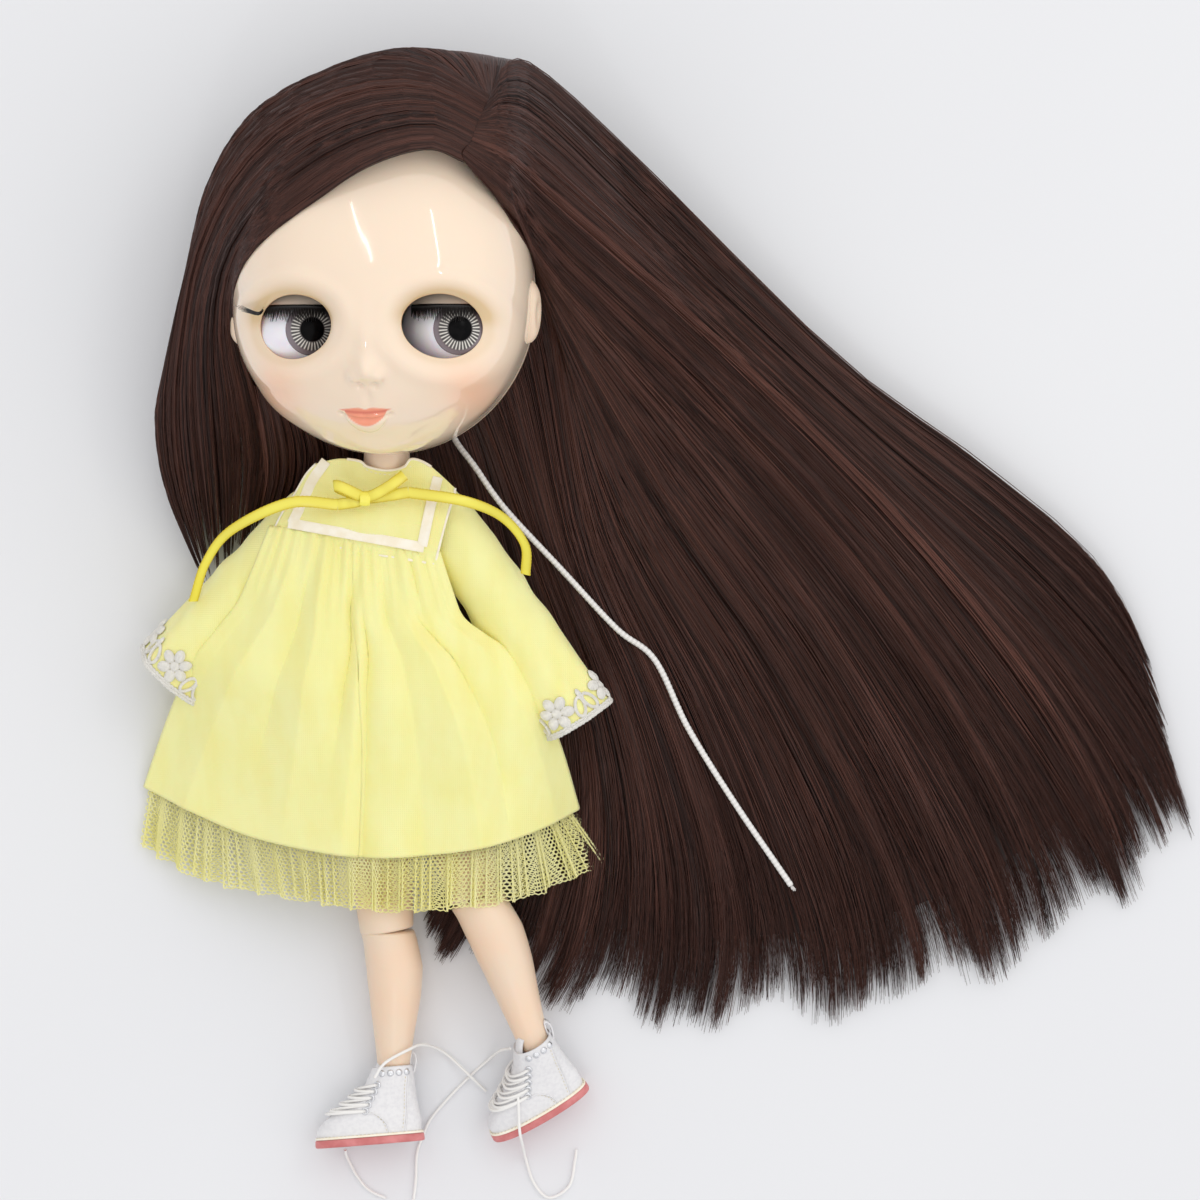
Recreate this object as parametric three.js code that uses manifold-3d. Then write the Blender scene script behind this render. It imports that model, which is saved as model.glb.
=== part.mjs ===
// A jointed fashion doll lying on its back. Millimetres; X to the doll's left, Y towards its head, Z up.
import * as THREE from "three";
import { mergeVertices } from "three/addons/utils/BufferGeometryUtils.js";
import Module from "manifold-3d";

const wasm = await Module();
wasm.setup();
const { Manifold, Mesh } = wasm;

// Clearances
const GAP = 0.3;
const JOINT_GAP = 0.35;
const CLOTH_GAP = 0.5;
const CLOTH = 1.0;

// Head
const HEAD_CENTRE = new THREE.Vector3(5, 90, 46);
const HEAD_YAW = THREE.MathUtils.degToRad(-5);
const HEAD_HALF_WIDTH = 42;
const HEAD_CHIN = 43.5;
const HEAD_CROWN = 65;
const HEAD_FRONT = 45;
const HEAD_BACK = 41;
const HEAD_SQUARENESS = 2.4;
const HEAD_WALL = 2.4;
const FACE_SPLIT_Z = -2;
const SCALP_LINE_Y = 41;
const HAIR_DEPTH = 4.4;
const EYE_X = 20.4;
const EYE_Y = -10;
const EYE_Z = 19.5;
const EYE_RADIUS = 13.2;
const EYE_OPENING_HALF_WIDTH = 10.6;
const EYE_OPENING_HALF_HEIGHT = 8.4;
const IRIS_RADIUS = 7.1;
const EYE_FLAT_DEPTH = 1.9;
const LID_WALL = 0.65;
const LID_GAP = 0.55;
const LID_EDGE_Y = 5.6;
const LID_BACK_Z = -3;
const EYE_SHAFT_RADIUS = 2.2;
const FRAME_HALF_WIDTH = 4;
const FRAME_HALF_HEIGHT = 7;
const FRAME_CAP = 2;
const SPRING_RADIUS = 2.2;
const SPRING_BEHIND_SHAFT = 20;
const NECK_RADIUS = 6.6;
const NECK_X = 5;
const NECK_Z = 36;
const NECK_HOLE_GAP = 0.6;

// Body
const PELVIS = new THREE.Vector3(5, -25, 13.2);
const NECK_BASE = new THREE.Vector3(4.4, 40, 32.6);
const SHOULDER_X = 19.5;
const SHOULDER_Y = 56;
const HIP_X = 10.4;
const HIP_Y = -3;
const TORSO_LENGTH = 69;
const SHOULDER_BALL = 5.6;
const HIP_BALL = 6.6;
const HIP_PEG = 2.4;
const HIP_PEG_DEPTH = 6;
const HIP_CLEAR = 10.6;
const HIP_FLEX = THREE.MathUtils.degToRad(72);
const HIP_SLOT_CLEAR = 0.7;

// Limbs: where the photographed pose puts the far ends
const UPPER_ARM_LENGTH = 29;
const FOREARM_LENGTH = 22;
const HAND_LENGTH = 12;
const WRIST_INSET = 1.1;
const ARM_RADIUS = 5.2;
const WRIST_RADIUS = 3.8;
const ELBOW_PIVOT_OFFSET = 2.2;
const ELBOW_FLEX = THREE.MathUtils.degToRad(85);
const ELBOW_TONGUE_RADIUS = 2.6;
const ELBOW_TONGUE_HALF = 1.6;
const WRIST_PEG_RADIUS = 1.5;
const WRIST_PEG_LENGTH = 6;
const RIGHT_CUFF = new THREE.Vector3(-57.4, -15, 14);
const LEFT_CUFF = new THREE.Vector3(57.6, -27, 19.5);
const RIGHT_KNEE = new THREE.Vector3(4.8, -86.4, 10.2);
const LEFT_KNEE = new THREE.Vector3(31.8, -83.2, 13.6);
const RIGHT_ANKLE = new THREE.Vector3(5.9, -131.4, 7.8);
const LEFT_ANKLE = new THREE.Vector3(47, -122.8, 13.2);
const KNEE_RADIUS = 8.2;
const KNEE_PIVOT_OFFSET = 3.2;
const KNEE_FLEX = THREE.MathUtils.degToRad(75);
const KNEE_TONGUE_RADIUS = 3.6;
const KNEE_TONGUE_HALF = 2.2;
const CALF_RADIUS = 8.4;
const ANKLE_RADIUS = 4.2;

// Boots
const BOOT_LENGTH = 30.5;
const BOOT_HEIGHT = 19.2;
const BOOT_HALF_WIDTH = 6.1;
const BOOT_HEEL = 6.6;
const BOOT_WALL = 0.9;
const BOOT_TOP_HALF = 6.2;
const BOOT_TOP_HALF_WIDTH = 6.7;
const RIGHT_BOOT_TURN = THREE.MathUtils.degToRad(-3.2);
const RIGHT_BOOT_TILT = THREE.MathUtils.degToRad(8);
const LEFT_BOOT_TURN = THREE.MathUtils.degToRad(-8);
const LEFT_BOOT_TILT = THREE.MathUtils.degToRad(-20);
const ANKLE_BELOW_TOP = 2.6;
const SOLE_THICKNESS = 2.2;
const SOLE_MARGIN = 0.6;
const LACE_RADIUS = 0.42;
const LACING_ROWS = 5;
const LACING_CLEAR = 0.7;

// Dress
const SLEEVE_RADIUS = 8.4;
const SLEEVE_END_RADIUS = 10;
const SLEEVE_FOLDS = 5;
const CUFF_LENGTH = 6;
const CUFF_THICKNESS = 0.8;
const SKIRT_TOP_Y = 17;
const SKIRT_CENTRE_X = -3.4;
const SKIRT_TOP_HALF = 27;
const SKIRT_HEM_HALF = 62;
const SKIRT_HEM_Y = -68;
const SKIRT_SIDE_RISE = 17;
const SKIRT_TOP_HEIGHT = 40;
const SKIRT_HEM_HEIGHT = 26;
const SKIRT_FOLDS = 15;
const RUFFLE_FOLDS = 24;
const RUFFLE_DEPTH = 18;
const RUFFLE_HALF = 67;
const COLLAR_HALF = 23.5;
const COLLAR_THICKNESS = 0.9;
const RIBBON_WIDTH = 3.2;
const RIBBON_THICKNESS = 0.5;

// Cord
const CORD_RADIUS = 0.85;
const CORD_INSIDE = 30;
const PULL_BAR_HALF = 6;
const PULL_BAR_RADIUS = 1.6;
const SCREW_RADIUS = 1.4;
const SCREW_LENGTH = 15;
const SCREW_SINK = 1.7;

const point = (x, y, z) => new THREE.Vector3(x, y, z);
const { lerp, clamp, smoothstep } = THREE.MathUtils;

const material = (color, roughness) => new THREE.MeshStandardMaterial({ color, roughness });
const SKIN = material(0xf3e2c8, 0.3);
const HAIR = material(0x42302a, 0.6);
const CLOTH_YELLOW = material(0xf3ec96, 0.8);
const NET_YELLOW = material(0xf2efb4, 0.8);
const RIBBON_YELLOW = material(0xf0e650, 0.5);
const LACE_WHITE = material(0xf4f2ec, 0.8);
const BOOT_WHITE = material(0xf2f0ea, 0.5);
const SOLE_PINK = material(0xe4a8ac, 0.5);
const EYE_WHITE = material(0xeeeaf2, 0.2);
const LID_WHITE = material(0xf2ecda, 0.4);
const FRAME_GREY = material(0x9a9a9e, 0.6);
const STEEL = material(0xb8b8b8, 0.3);

// A geometry from points and triangles, turned so that its faces look out.
function geometryOf(points, triangles) {
  const volume = triangles.reduce((sum, [a, b, c]) => {
    const cross = new THREE.Vector3().crossVectors(points[b], points[c]);
    return sum + points[a].dot(cross);
  }, 0);
  const facing = volume < 0 ? triangles.map(([a, b, c]) => [a, c, b]) : triangles;
  const geometry = new THREE.BufferGeometry().setFromPoints(points);
  geometry.setIndex(facing.flat());
  geometry.computeVertexNormals();
  return geometry;
}

// Quads between two rings of the same length.
function band(triangles, first, second, count, open = false) {
  const last = open ? count - 1 : count;
  for (let i = 0; i < last; i += 1) {
    const j = (i + 1) % count;
    triangles.push([first + i, second + i, second + j]);
    triangles.push([first + i, second + j, first + j]);
  }
}

// A solid skinned over rings, with a fan over each end.
function skin(rings) {
  const count = rings[0].length;
  const points = rings.flat();
  const triangles = [];
  for (let r = 0; r + 1 < rings.length; r += 1) band(triangles, r * count, (r + 1) * count, count);
  const ends = [rings[0], rings[rings.length - 1]];
  ends.forEach((ring, e) => {
    const start = e === 0 ? 0 : (rings.length - 1) * count;
    const centre = ring.reduce((sum, p) => sum.add(p), new THREE.Vector3()).divideScalar(count);
    points.push(centre);
    for (let i = 0; i < count; i += 1) {
      const pair = [start + i, start + ((i + 1) % count)];
      if (e === 0) pair.reverse();
      triangles.push([points.length - 1, pair[1], pair[0]]);
    }
  });
  return geometryOf(points, triangles);
}

// A tube wall between outer and inner rings, closed by a rim at both ends.
function wall(outer, inner) {
  const count = outer[0].length;
  const points = [...outer.flat(), ...inner.flat()];
  const half = outer.length * count;
  const triangles = [];
  const far = (outer.length - 1) * count;
  for (let r = 0; r + 1 < outer.length; r += 1) {
    band(triangles, r * count, (r + 1) * count, count);
    band(triangles, half + (r + 1) * count, half + r * count, count);
  }
  band(triangles, half, 0, count);
  band(triangles, far, half + far, count);
  return geometryOf(points, triangles);
}

// A sheet between a grid of upper points and a grid of lower points.
function sheet(upper, lower) {
  const count = upper[0].length;
  const rows = upper.length;
  const points = [...upper.flat(), ...lower.flat()];
  const half = rows * count;
  const triangles = [];
  for (let r = 0; r + 1 < rows; r += 1) {
    band(triangles, r * count, (r + 1) * count, count, true);
    band(triangles, half + (r + 1) * count, half + r * count, count, true);
    const a = r * count;
    const b = (r + 1) * count;
    triangles.push([a, half + a, half + b], [a, half + b, b]);
    const c = a + count - 1;
    const d = b + count - 1;
    triangles.push([c, half + d, half + c], [c, d, half + d]);
  }
  for (let i = 0; i + 1 < count; i += 1) {
    triangles.push([i, half + i + 1, half + i], [i, i + 1, half + i + 1]);
    const e = (rows - 1) * count + i;
    triangles.push([e, half + e, half + e + 1], [e, half + e + 1, e + 1]);
  }
  return geometryOf(points, triangles);
}

// A closed geometry as a solid that can be cut, and back.
function solid(geometry) {
  const plain = new THREE.BufferGeometry();
  plain.setAttribute("position", geometry.getAttribute("position").clone());
  if (geometry.index) plain.setIndex(geometry.index.clone());
  const merged = mergeVertices(plain, 1e-4);
  const mesh = new Mesh({
    numProp: 3,
    vertProperties: new Float32Array(merged.getAttribute("position").array),
    triVerts: new Uint32Array(merged.index.array),
  });
  mesh.merge();
  return new Manifold(mesh);
}

function geometry(cut) {
  const mesh = cut.getMesh();
  const result = new THREE.BufferGeometry();
  result.setAttribute("position", new THREE.BufferAttribute(mesh.vertProperties, 3));
  result.setIndex(new THREE.BufferAttribute(mesh.triVerts, 1));
  result.computeVertexNormals();
  return result;
}

// The largest body of a cut solid.
function largest(cut) {
  const bodies = cut.decompose();
  return bodies.reduce((best, body) => (body.volume() > best.volume() ? body : best));
}

const ball = (radius, at, wide = 12, high = 8) =>
  solid(new THREE.SphereGeometry(radius, wide, high).translate(at.x, at.y, at.z));

function box(from, to) {
  const size = to.clone().sub(from);
  const middle = from.clone().add(to).multiplyScalar(0.5);
  return solid(new THREE.BoxGeometry(size.x, size.y, size.z).translate(middle.x, middle.y, middle.z));
}

// A round bar between two points.
function bar(from, to, radius, sides = 16) {
  const along = to.clone().sub(from);
  const turn = new THREE.Quaternion().setFromUnitVectors(point(0, 1, 0), along.clone().normalize());
  const shape = new THREE.CylinderGeometry(radius, radius, along.length(), sides);
  const middle = from.clone().add(to).multiplyScalar(0.5);
  return shape.applyQuaternion(turn).translate(middle.x, middle.y, middle.z);
}

// A tube along hand-chosen points.
function tube(points, radius, sides = 8, steps = 40) {
  const section = new THREE.Shape();
  section.absarc(0, 0, radius, 0, Math.PI * 2);
  const path = new THREE.CatmullRomCurve3(points, false, "centripetal");
  const options = { steps, extrudePath: path, curveSegments: sides / 2, bevelEnabled: false };
  return new THREE.ExtrudeGeometry(section, options);
}

// An ellipse ring with half axes a along u and b along v; a squareness above 2 flattens its sides.
function ring(centre, u, v, a, b, count, squareness = 2) {
  const points = [];
  for (let i = 0; i < count; i += 1) {
    const angle = (i / count) * Math.PI * 2;
    const c = Math.cos(angle);
    const s = Math.sin(angle);
    const x = Math.sign(c) * Math.abs(c) ** (2 / squareness);
    const y = Math.sign(s) * Math.abs(s) ** (2 / squareness);
    points.push(centre.clone().addScaledVector(u, a * x).addScaledVector(v, b * y));
  }
  return points;
}

// Rings along a limb. Each station: [share of the length, half width, half depth, shift to the front].
function limbRings(from, along, front, stations, grow = 0, count = 12) {
  const down = along.clone().normalize();
  const side = new THREE.Vector3().crossVectors(front, down);
  return stations.map(([share, a, b, shift]) => {
    const centre = from.clone().addScaledVector(along, share).addScaledVector(front, shift);
    return ring(centre, front, side, a + grow, b + grow, count);
  });
}

// A half space on one side of a line through a pivot: everything on the side that a normal points to.
function halfSpace(pivot, normal, axis, reach = 60) {
  const across = new THREE.Vector3().crossVectors(normal, axis);
  const block = new THREE.BoxGeometry(reach * 2, reach, reach * 2).translate(0, reach / 2, 0);
  const basis = new THREE.Matrix4().makeBasis(across, normal, axis).setPosition(pivot);
  return solid(block.applyMatrix4(basis));
}

// The hinge of a knee or elbow. It shares a limb between two pieces: the upper piece ends in a round
// tongue inside a slot of the lower piece, and a notch on the bending side leaves room for the bend.
function hingeCut(upper, lower, pivot, down, bendSide, axis, radius, slot, flex) {
  const half = flex / 2 + 0.03;
  const upperNormal = down.clone().multiplyScalar(Math.cos(half)).addScaledVector(bendSide, Math.sin(half));
  const lowerNormal = down.clone().multiplyScalar(-Math.cos(half)).addScaledVector(bendSide, Math.sin(half));
  const straightUp = down.clone().negate();
  const lift = pivot.clone().addScaledVector(down, -JOINT_GAP / 2);
  const drop = pivot.clone().addScaledVector(down, JOINT_GAP / 2);
  const disc = (r, width) =>
    solid(
      bar(
        pivot.clone().addScaledVector(axis, -width),
        pivot.clone().addScaledVector(axis, width),
        r,
        14,
      ),
    );
  const slotBox = disc(radius + JOINT_GAP, slot + JOINT_GAP);
  const tongue = disc(radius, slot);
  let top = upper.subtract(halfSpace(lift, down, axis)).subtract(halfSpace(lift, upperNormal, axis));
  let bottom = lower.subtract(halfSpace(drop, straightUp, axis));
  top = top.add(tongue);
  bottom = bottom.subtract(halfSpace(drop, lowerNormal, axis)).subtract(slotBox);
  return [top, bottom];
}

const root = new THREE.Group();
function put(name, shape, look, group = root) {
  const plain = shape instanceof THREE.BufferGeometry ? shape : geometry(shape);
  const mesh = new THREE.Mesh(plain, look);
  mesh.name = name;
  group.add(mesh);
  return mesh;
}

// Head, in its own frame: x to its left, y to its crown, z to its face
const headGroup = new THREE.Group();
headGroup.position.copy(HEAD_CENTRE);
headGroup.rotation.y = HEAD_YAW;
root.add(headGroup);
headGroup.updateMatrixWorld();

function headForm(grow, count = 24, levels = 12) {
  const rings = [];
  for (let i = 1; i < levels; i += 1) {
    const turn = -Math.cos((i / levels) * Math.PI);
    const reach = turn < 0 ? HEAD_CHIN : HEAD_CROWN;
    const share = Math.sqrt(1 - turn * turn);
    const y = turn * (reach + grow);
    const points = ring(point(0, y, 0), point(1, 0, 0), point(0, 0, 1), 1, 1, count, HEAD_SQUARENESS);
    const width = (HEAD_HALF_WIDTH + grow) * share;
    const front = (HEAD_FRONT + grow) * share;
    const back = (HEAD_BACK + grow) * share;
    points.forEach((p) => p.set(p.x * width, y, p.z * (p.z > 0 ? front : back)));
    rings.push(points);
  }
  return skin(rings);
}

const eyeHole = (side) => {
  const hole = new THREE.CylinderGeometry(1, 1, 40, 28).rotateX(Math.PI / 2);
  hole.scale(EYE_OPENING_HALF_WIDTH, EYE_OPENING_HALF_HEIGHT, 1);
  return solid(hole.translate(side * EYE_X, EYE_Y, EYE_Z + 20));
};
const neckInHead = headGroup.worldToLocal(point(NECK_X, HEAD_CENTRE.y, NECK_Z));
const neckHole = solid(
  bar(
    point(neckInHead.x, -HEAD_CHIN - 4, neckInHead.z),
    point(neckInHead.x, -20, neckInHead.z),
    NECK_RADIUS + NECK_HOLE_GAP,
    24,
  ),
);
const lidOuter = EYE_RADIUS + LID_GAP + LID_WALL;
const eyeRoom = (side) => ball(lidOuter + 0.4, point(side * EYE_X, EYE_Y, EYE_Z), 20, 12);
const shellBody = solid(headForm(0)).subtract(solid(headForm(-HEAD_WALL)));
const big = 200;
const frontHalf = box(point(-big, -big, FACE_SPLIT_Z + GAP / 2), point(big, SCALP_LINE_Y - GAP / 2, big));
const backHalf = box(point(-big, -big, -big), point(big, SCALP_LINE_Y - GAP / 2, FACE_SPLIT_Z - GAP / 2));
const topPart = box(point(-big, SCALP_LINE_Y + GAP / 2, -big), point(big, big, big));
const facePlate = shellBody
  .intersect(frontHalf)
  .subtract(eyeHole(1))
  .subtract(eyeHole(-1))
  .subtract(eyeRoom(1))
  .subtract(eyeRoom(-1))
  .subtract(neckHole);
put("face_plate", largest(facePlate), SKIN, headGroup);

// The pull cord leaves the back plate, lies over the loose hair and ends in a bare cut
const CORD_EXIT = point(13, -24, -29);
const CORD_INWARD = point(0, 0.63, 0.777).normalize();
const cordAt = (depth) => CORD_EXIT.clone().addScaledVector(CORD_INWARD, depth);
const cordRoute = [
  headGroup.localToWorld(cordAt(CORD_INSIDE - PULL_BAR_RADIUS - 2 * GAP)),
  headGroup.localToWorld(cordAt(8)),
  headGroup.localToWorld(cordAt(-2)),
  headGroup.localToWorld(cordAt(-9).add(point(1, 0, 3))),
  point(23.4, 52.4, 16),
  point(29.4, 44, 19.5),
  point(38, 32, 19.6),
  point(54.5, 14.2, 15.4),
  point(70, -2.4, 12.2),
  point(81, -11.4, 11.2),
  point(90.6, -31, 10),
  point(104, -52.6, 8.6),
  point(120.4, -76.6, 6.6),
];
const toHead = headGroup.matrixWorld.clone().invert();
const cordRoom = solid(tube(cordRoute, CORD_RADIUS + CLOTH_GAP, 8, 48).applyMatrix4(toHead));
const screwSpots = [
  ["head_screw_lower_right", -24, -19],
  ["head_screw_lower_left", 24, -19],
  ["head_screw_upper_right", -24, 14],
  ["head_screw_upper_left", 24, 14],
];
// Depth of the head's back surface below a spot.
const backDepth = (x, y) => {
  const share = Math.sqrt(1 - (y / (y < 0 ? HEAD_CHIN : HEAD_CROWN)) ** 2);
  const across = Math.abs(x) / (HEAD_HALF_WIDTH * share);
  return -HEAD_BACK * share * (1 - across ** HEAD_SQUARENESS) ** (1 / HEAD_SQUARENESS);
};
const screw = (x, y, radius, sink) => {
  const back = backDepth(x, y);
  return bar(point(x, y, back + sink), point(x, y, back + SCREW_LENGTH), radius, 10);
};
let backPlate = shellBody.intersect(backHalf).subtract(neckHole).subtract(cordRoom);
screwSpots.forEach(([, x, y]) => {
  backPlate = backPlate.subtract(solid(screw(x, y, SCREW_RADIUS + GAP, -6)));
});
put("back_plate", largest(backPlate), SKIN, headGroup);
put("scalp_cap", largest(shellBody.intersect(topPart)), HAIR, headGroup);

// Hair drawn back over the head, open at the front along the hairline
const hairline = new THREE.Shape();
hairline.moveTo(-60, -70);
hairline.lineTo(-46, 2);
hairline.splineThru(
  [
    [-38, 9],
    [-28, 18],
    [-13.5, 27.5],
    [5.7, 35.7],
    [16.6, 38.4],
    [27.5, 33],
    [36, 22],
    [46, 2],
  ].map(([x, y]) => new THREE.Vector2(x, y)),
);
hairline.lineTo(60, -70);
const faceWindow = new THREE.ExtrudeGeometry(hairline, { depth: 90, bevelEnabled: false, curveSegments: 3 });
const hairBody = solid(headForm(HAIR_DEPTH))
  .subtract(solid(headForm(GAP)))
  .subtract(solid(faceWindow.translate(0, 0, -6)))
  .subtract(box(point(-big, -big, -big), point(big, -26, big)))
  .subtract(cordRoom);
put("hair_cap", largest(hairBody), HAIR, headGroup);

// Eyes on one shaft, lids on the same axis, and the frame that holds them
const eyeAt = (side) => point(side * EYE_X, EYE_Y, EYE_Z);
const shaftHalf = EYE_X + EYE_RADIUS + 0.8;
const shaft = (grow) => {
  const end = (side) => point(side * (shaftHalf + grow), EYE_Y, EYE_Z);
  return solid(bar(end(-1), end(1), EYE_SHAFT_RADIUS + grow));
};
[
  ["right", -1],
  ["left", 1],
].forEach(([name, side]) => {
  const at = eyeAt(side);
  const corner = (x, y, z) => at.clone().add(point(x, y, z));
  const flat = box(corner(-big, -big, EYE_RADIUS - EYE_FLAT_DEPTH), corner(big, big, big));
  const globe = ball(EYE_RADIUS, at, 16, 10).subtract(flat).subtract(shaft(GAP));
  put(`eye_${name}`, globe, EYE_WHITE, headGroup);
  const chip = new THREE.SphereGeometry(lidOuter, 16, 10).translate(at.x, at.y, at.z);
  const hollow = ball(EYE_RADIUS + LID_GAP, at, 16, 10);
  const lower = box(corner(-big, -big, -big), corner(big, LID_EDGE_Y, big));
  const behind = box(corner(-big, -big, -big), corner(big, big, LID_BACK_Z));
  put(`eyelid_${name}`, solid(chip).subtract(hollow).subtract(lower).subtract(behind), LID_WHITE, headGroup);
});
put("eye_shaft", shaft(0), STEEL, headGroup);
const eyeFrame = box(
  point(-FRAME_HALF_WIDTH, EYE_Y - FRAME_HALF_HEIGHT, -HEAD_BACK),
  point(FRAME_HALF_WIDTH, EYE_Y + FRAME_HALF_HEIGHT, EYE_Z + EYE_SHAFT_RADIUS + FRAME_CAP),
)
  .intersect(solid(headForm(-HEAD_WALL - GAP)))
  .subtract(shaft(GAP));
put("eye_frame", largest(eyeFrame), FRAME_GREY, headGroup);
const springX = -FRAME_HALF_WIDTH - GAP - SPRING_RADIUS;
const springTop = point(springX, EYE_Y + FRAME_HALF_HEIGHT, EYE_Z - SPRING_BEHIND_SHAFT);
const springFoot = point(springX, EYE_Y - FRAME_HALF_HEIGHT, EYE_Z - SPRING_BEHIND_SHAFT);
put("return_spring", bar(springTop, springFoot, SPRING_RADIUS, 12), STEEL, headGroup);
screwSpots.forEach(([name, x, y]) => put(name, screw(x, y, SCREW_RADIUS, SCREW_SINK), STEEL, headGroup));

// Pull bar inside the head and the cord tied to it
const pullBarEnd = (side) => cordAt(CORD_INSIDE).add(point(side * PULL_BAR_HALF, 0, 0));
put("pull_bar", bar(pullBarEnd(-1), pullBarEnd(1), PULL_BAR_RADIUS, 10), FRAME_GREY, headGroup);
put("pull_cord", tube(cordRoute, CORD_RADIUS, 8, 40), LACE_WHITE);

// Body shell, in its own frame: x to its left, y to its neck, z to its chest
const bodyGroup = new THREE.Group();
const bodyUp = NECK_BASE.clone().sub(PELVIS).normalize();
const bodySide = new THREE.Vector3().crossVectors(bodyUp, point(0, 0, 1)).normalize();
const bodyFront = new THREE.Vector3().crossVectors(bodySide, bodyUp);
const bodyFrame = new THREE.Matrix4().makeBasis(bodySide, bodyUp, bodyFront).setPosition(PELVIS);
bodyGroup.applyMatrix4(bodyFrame);
root.add(bodyGroup);
bodyGroup.updateMatrixWorld();

// Stations of the body: [height, half width, half depth]
const bodyStations = [
  [-9.5, 5.5, 6],
  [-6, 14, 8.6],
  [0, 17.8, 9.9],
  [8, 16.6, 9.8],
  [24, 12.4, 8.8],
  [40, 14.4, 10.2],
  [51, 16.4, 10.8],
  [60, 14.6, 8.8],
  [65.5, 9, 7],
  [TORSO_LENGTH, 6.8, 6.6],
];
const bodyRing = ([y, a, b], grow = 0) =>
  ring(point(0, y, 0), point(1, 0, 0), point(0, 0, 1), a + grow, b + grow, 18);
function bodyAt(y) {
  const next = Math.max(1, bodyStations.findIndex(([height]) => height >= y));
  const [y0, a0, b0] = bodyStations[next - 1];
  const [y1, a1, b1] = bodyStations[next];
  const share = clamp((y - y0) / (y1 - y0), 0, 1);
  return [y, lerp(a0, a1, share), lerp(b0, b1, share)];
}
const hipIn = (side) => point(side * HIP_X, HIP_Y, 0);
const shoulderIn = (side) => point(side * SHOULDER_X, SHOULDER_Y, 0);
let bodySolid = solid(skin(bodyStations.map((station) => bodyRing(station))));
[-1, 1].forEach((side) => {
  const hipRoom = bar(hipIn(side), hipIn(side).add(point(side * 4, -30, 0)), HIP_BALL + 1.2, 14);
  bodySolid = bodySolid.subtract(ball(HIP_BALL + JOINT_GAP, hipIn(side)));
  bodySolid = bodySolid.subtract(ball(SHOULDER_BALL + JOINT_GAP, shoulderIn(side)));
  bodySolid = bodySolid.subtract(solid(hipRoom));
  const knee = bodyGroup.worldToLocal((side < 0 ? RIGHT_KNEE : LEFT_KNEE).clone());
  const straight = knee.sub(hipIn(side)).setLength(HIP_CLEAR + HIP_PEG_DEPTH);
  [0.25, 0.5, 0.75, 1].forEach((share) => {
    const reach = straight.clone().applyAxisAngle(point(-1, 0, 0), share * HIP_FLEX);
    const slot = bar(hipIn(side), hipIn(side).add(reach), HIP_PEG + HIP_SLOT_CLEAR, 12);
    bodySolid = bodySolid.subtract(solid(slot));
  });
});
const chestHalf = box(point(-big, -big, GAP / 2), point(big, big, big));
const backSide = box(point(-big, -big, -big), point(big, big, -GAP / 2));
put("torso_front", largest(bodySolid.intersect(chestHalf)), SKIN, bodyGroup);
put("torso_back", largest(bodySolid.intersect(backSide)), SKIN, bodyGroup);

// Neck post: a stub on the body, then a round post that the head turns on
const stubFoot = bodyGroup.localToWorld(point(0, TORSO_LENGTH + GAP, 0));
const postFoot = point(NECK_X, HEAD_CENTRE.y - HEAD_CHIN - 1.2, NECK_Z);
const postTop = point(NECK_X, HEAD_CENTRE.y - HEAD_CHIN + 17, NECK_Z);
const knobTop = postTop.clone().add(point(0, 4, 0));
const stubRings = [
  ring(stubFoot, bodySide, bodyFront, NECK_RADIUS, NECK_RADIUS - 0.3, 20),
  ring(postFoot, point(1, 0, 0), point(0, 0, 1), NECK_RADIUS, NECK_RADIUS, 20),
  ring(postTop, point(1, 0, 0), point(0, 0, 1), NECK_RADIUS, NECK_RADIUS, 20),
  ring(postTop, point(1, 0, 0), point(0, 0, 1), NECK_RADIUS + 2, NECK_RADIUS + 2, 20),
  ring(knobTop, point(1, 0, 0), point(0, 0, 1), NECK_RADIUS + 1, NECK_RADIUS + 1, 20),
];
put("neck_post", skin(stubRings), SKIN);

// Bodice around the chest and the square collar over it
const bodiceYs = [46, 51, 60, 65.5];
const BODICE_OUTSIDE = GAP + CLOTH + 0.3;
const bodiceOuter = bodiceYs.map((y) => bodyRing(bodyAt(y), BODICE_OUTSIDE));
const bodiceInner = bodiceYs.map((y) => bodyRing(bodyAt(y), GAP));
const COLLAR_CROWN = Math.max(...bodyStations.map(([, , depth]) => depth)) + BODICE_OUTSIDE + GAP;
const collarTop = 67.5;
const collarBottom = 50.6;
const collarHeight = (x, y) => {
  const crown = COLLAR_CROWN - 0.0068 * x * x;
  return crown - 4.6 * smoothstep(y, 57, 68);
};
const collarUpper = [];
const collarLower = [];
for (let r = 0; r <= 6; r += 1) {
  const y = lerp(collarBottom, collarTop, r / 6);
  const half = lerp(COLLAR_HALF, COLLAR_HALF - 5, r / 6);
  const rowUp = [];
  const rowDown = [];
  for (let i = 0; i <= 12; i += 1) {
    const x = lerp(-half, half, i / 12);
    const z = collarHeight(x, y);
    rowUp.push(point(x, y, z + COLLAR_THICKNESS));
    rowDown.push(point(x, y, z));
  }
  collarUpper.push(rowUp);
  collarLower.push(rowDown);
}
const neckline = (z) => point(0, TORSO_LENGTH - 1, z);
const collarNeck = solid(bar(neckline(-20), neckline(40), NECK_RADIUS + 2.4, 24));
const bodiceRoom = solid(skin(bodiceYs.map((y) => bodyRing(bodyAt(y), BODICE_OUTSIDE + GAP))));
const collar = solid(sheet(collarUpper, collarLower)).subtract(collarNeck).subtract(bodiceRoom);
put("dress_collar", largest(collar), CLOTH_YELLOW, bodyGroup);

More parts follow.
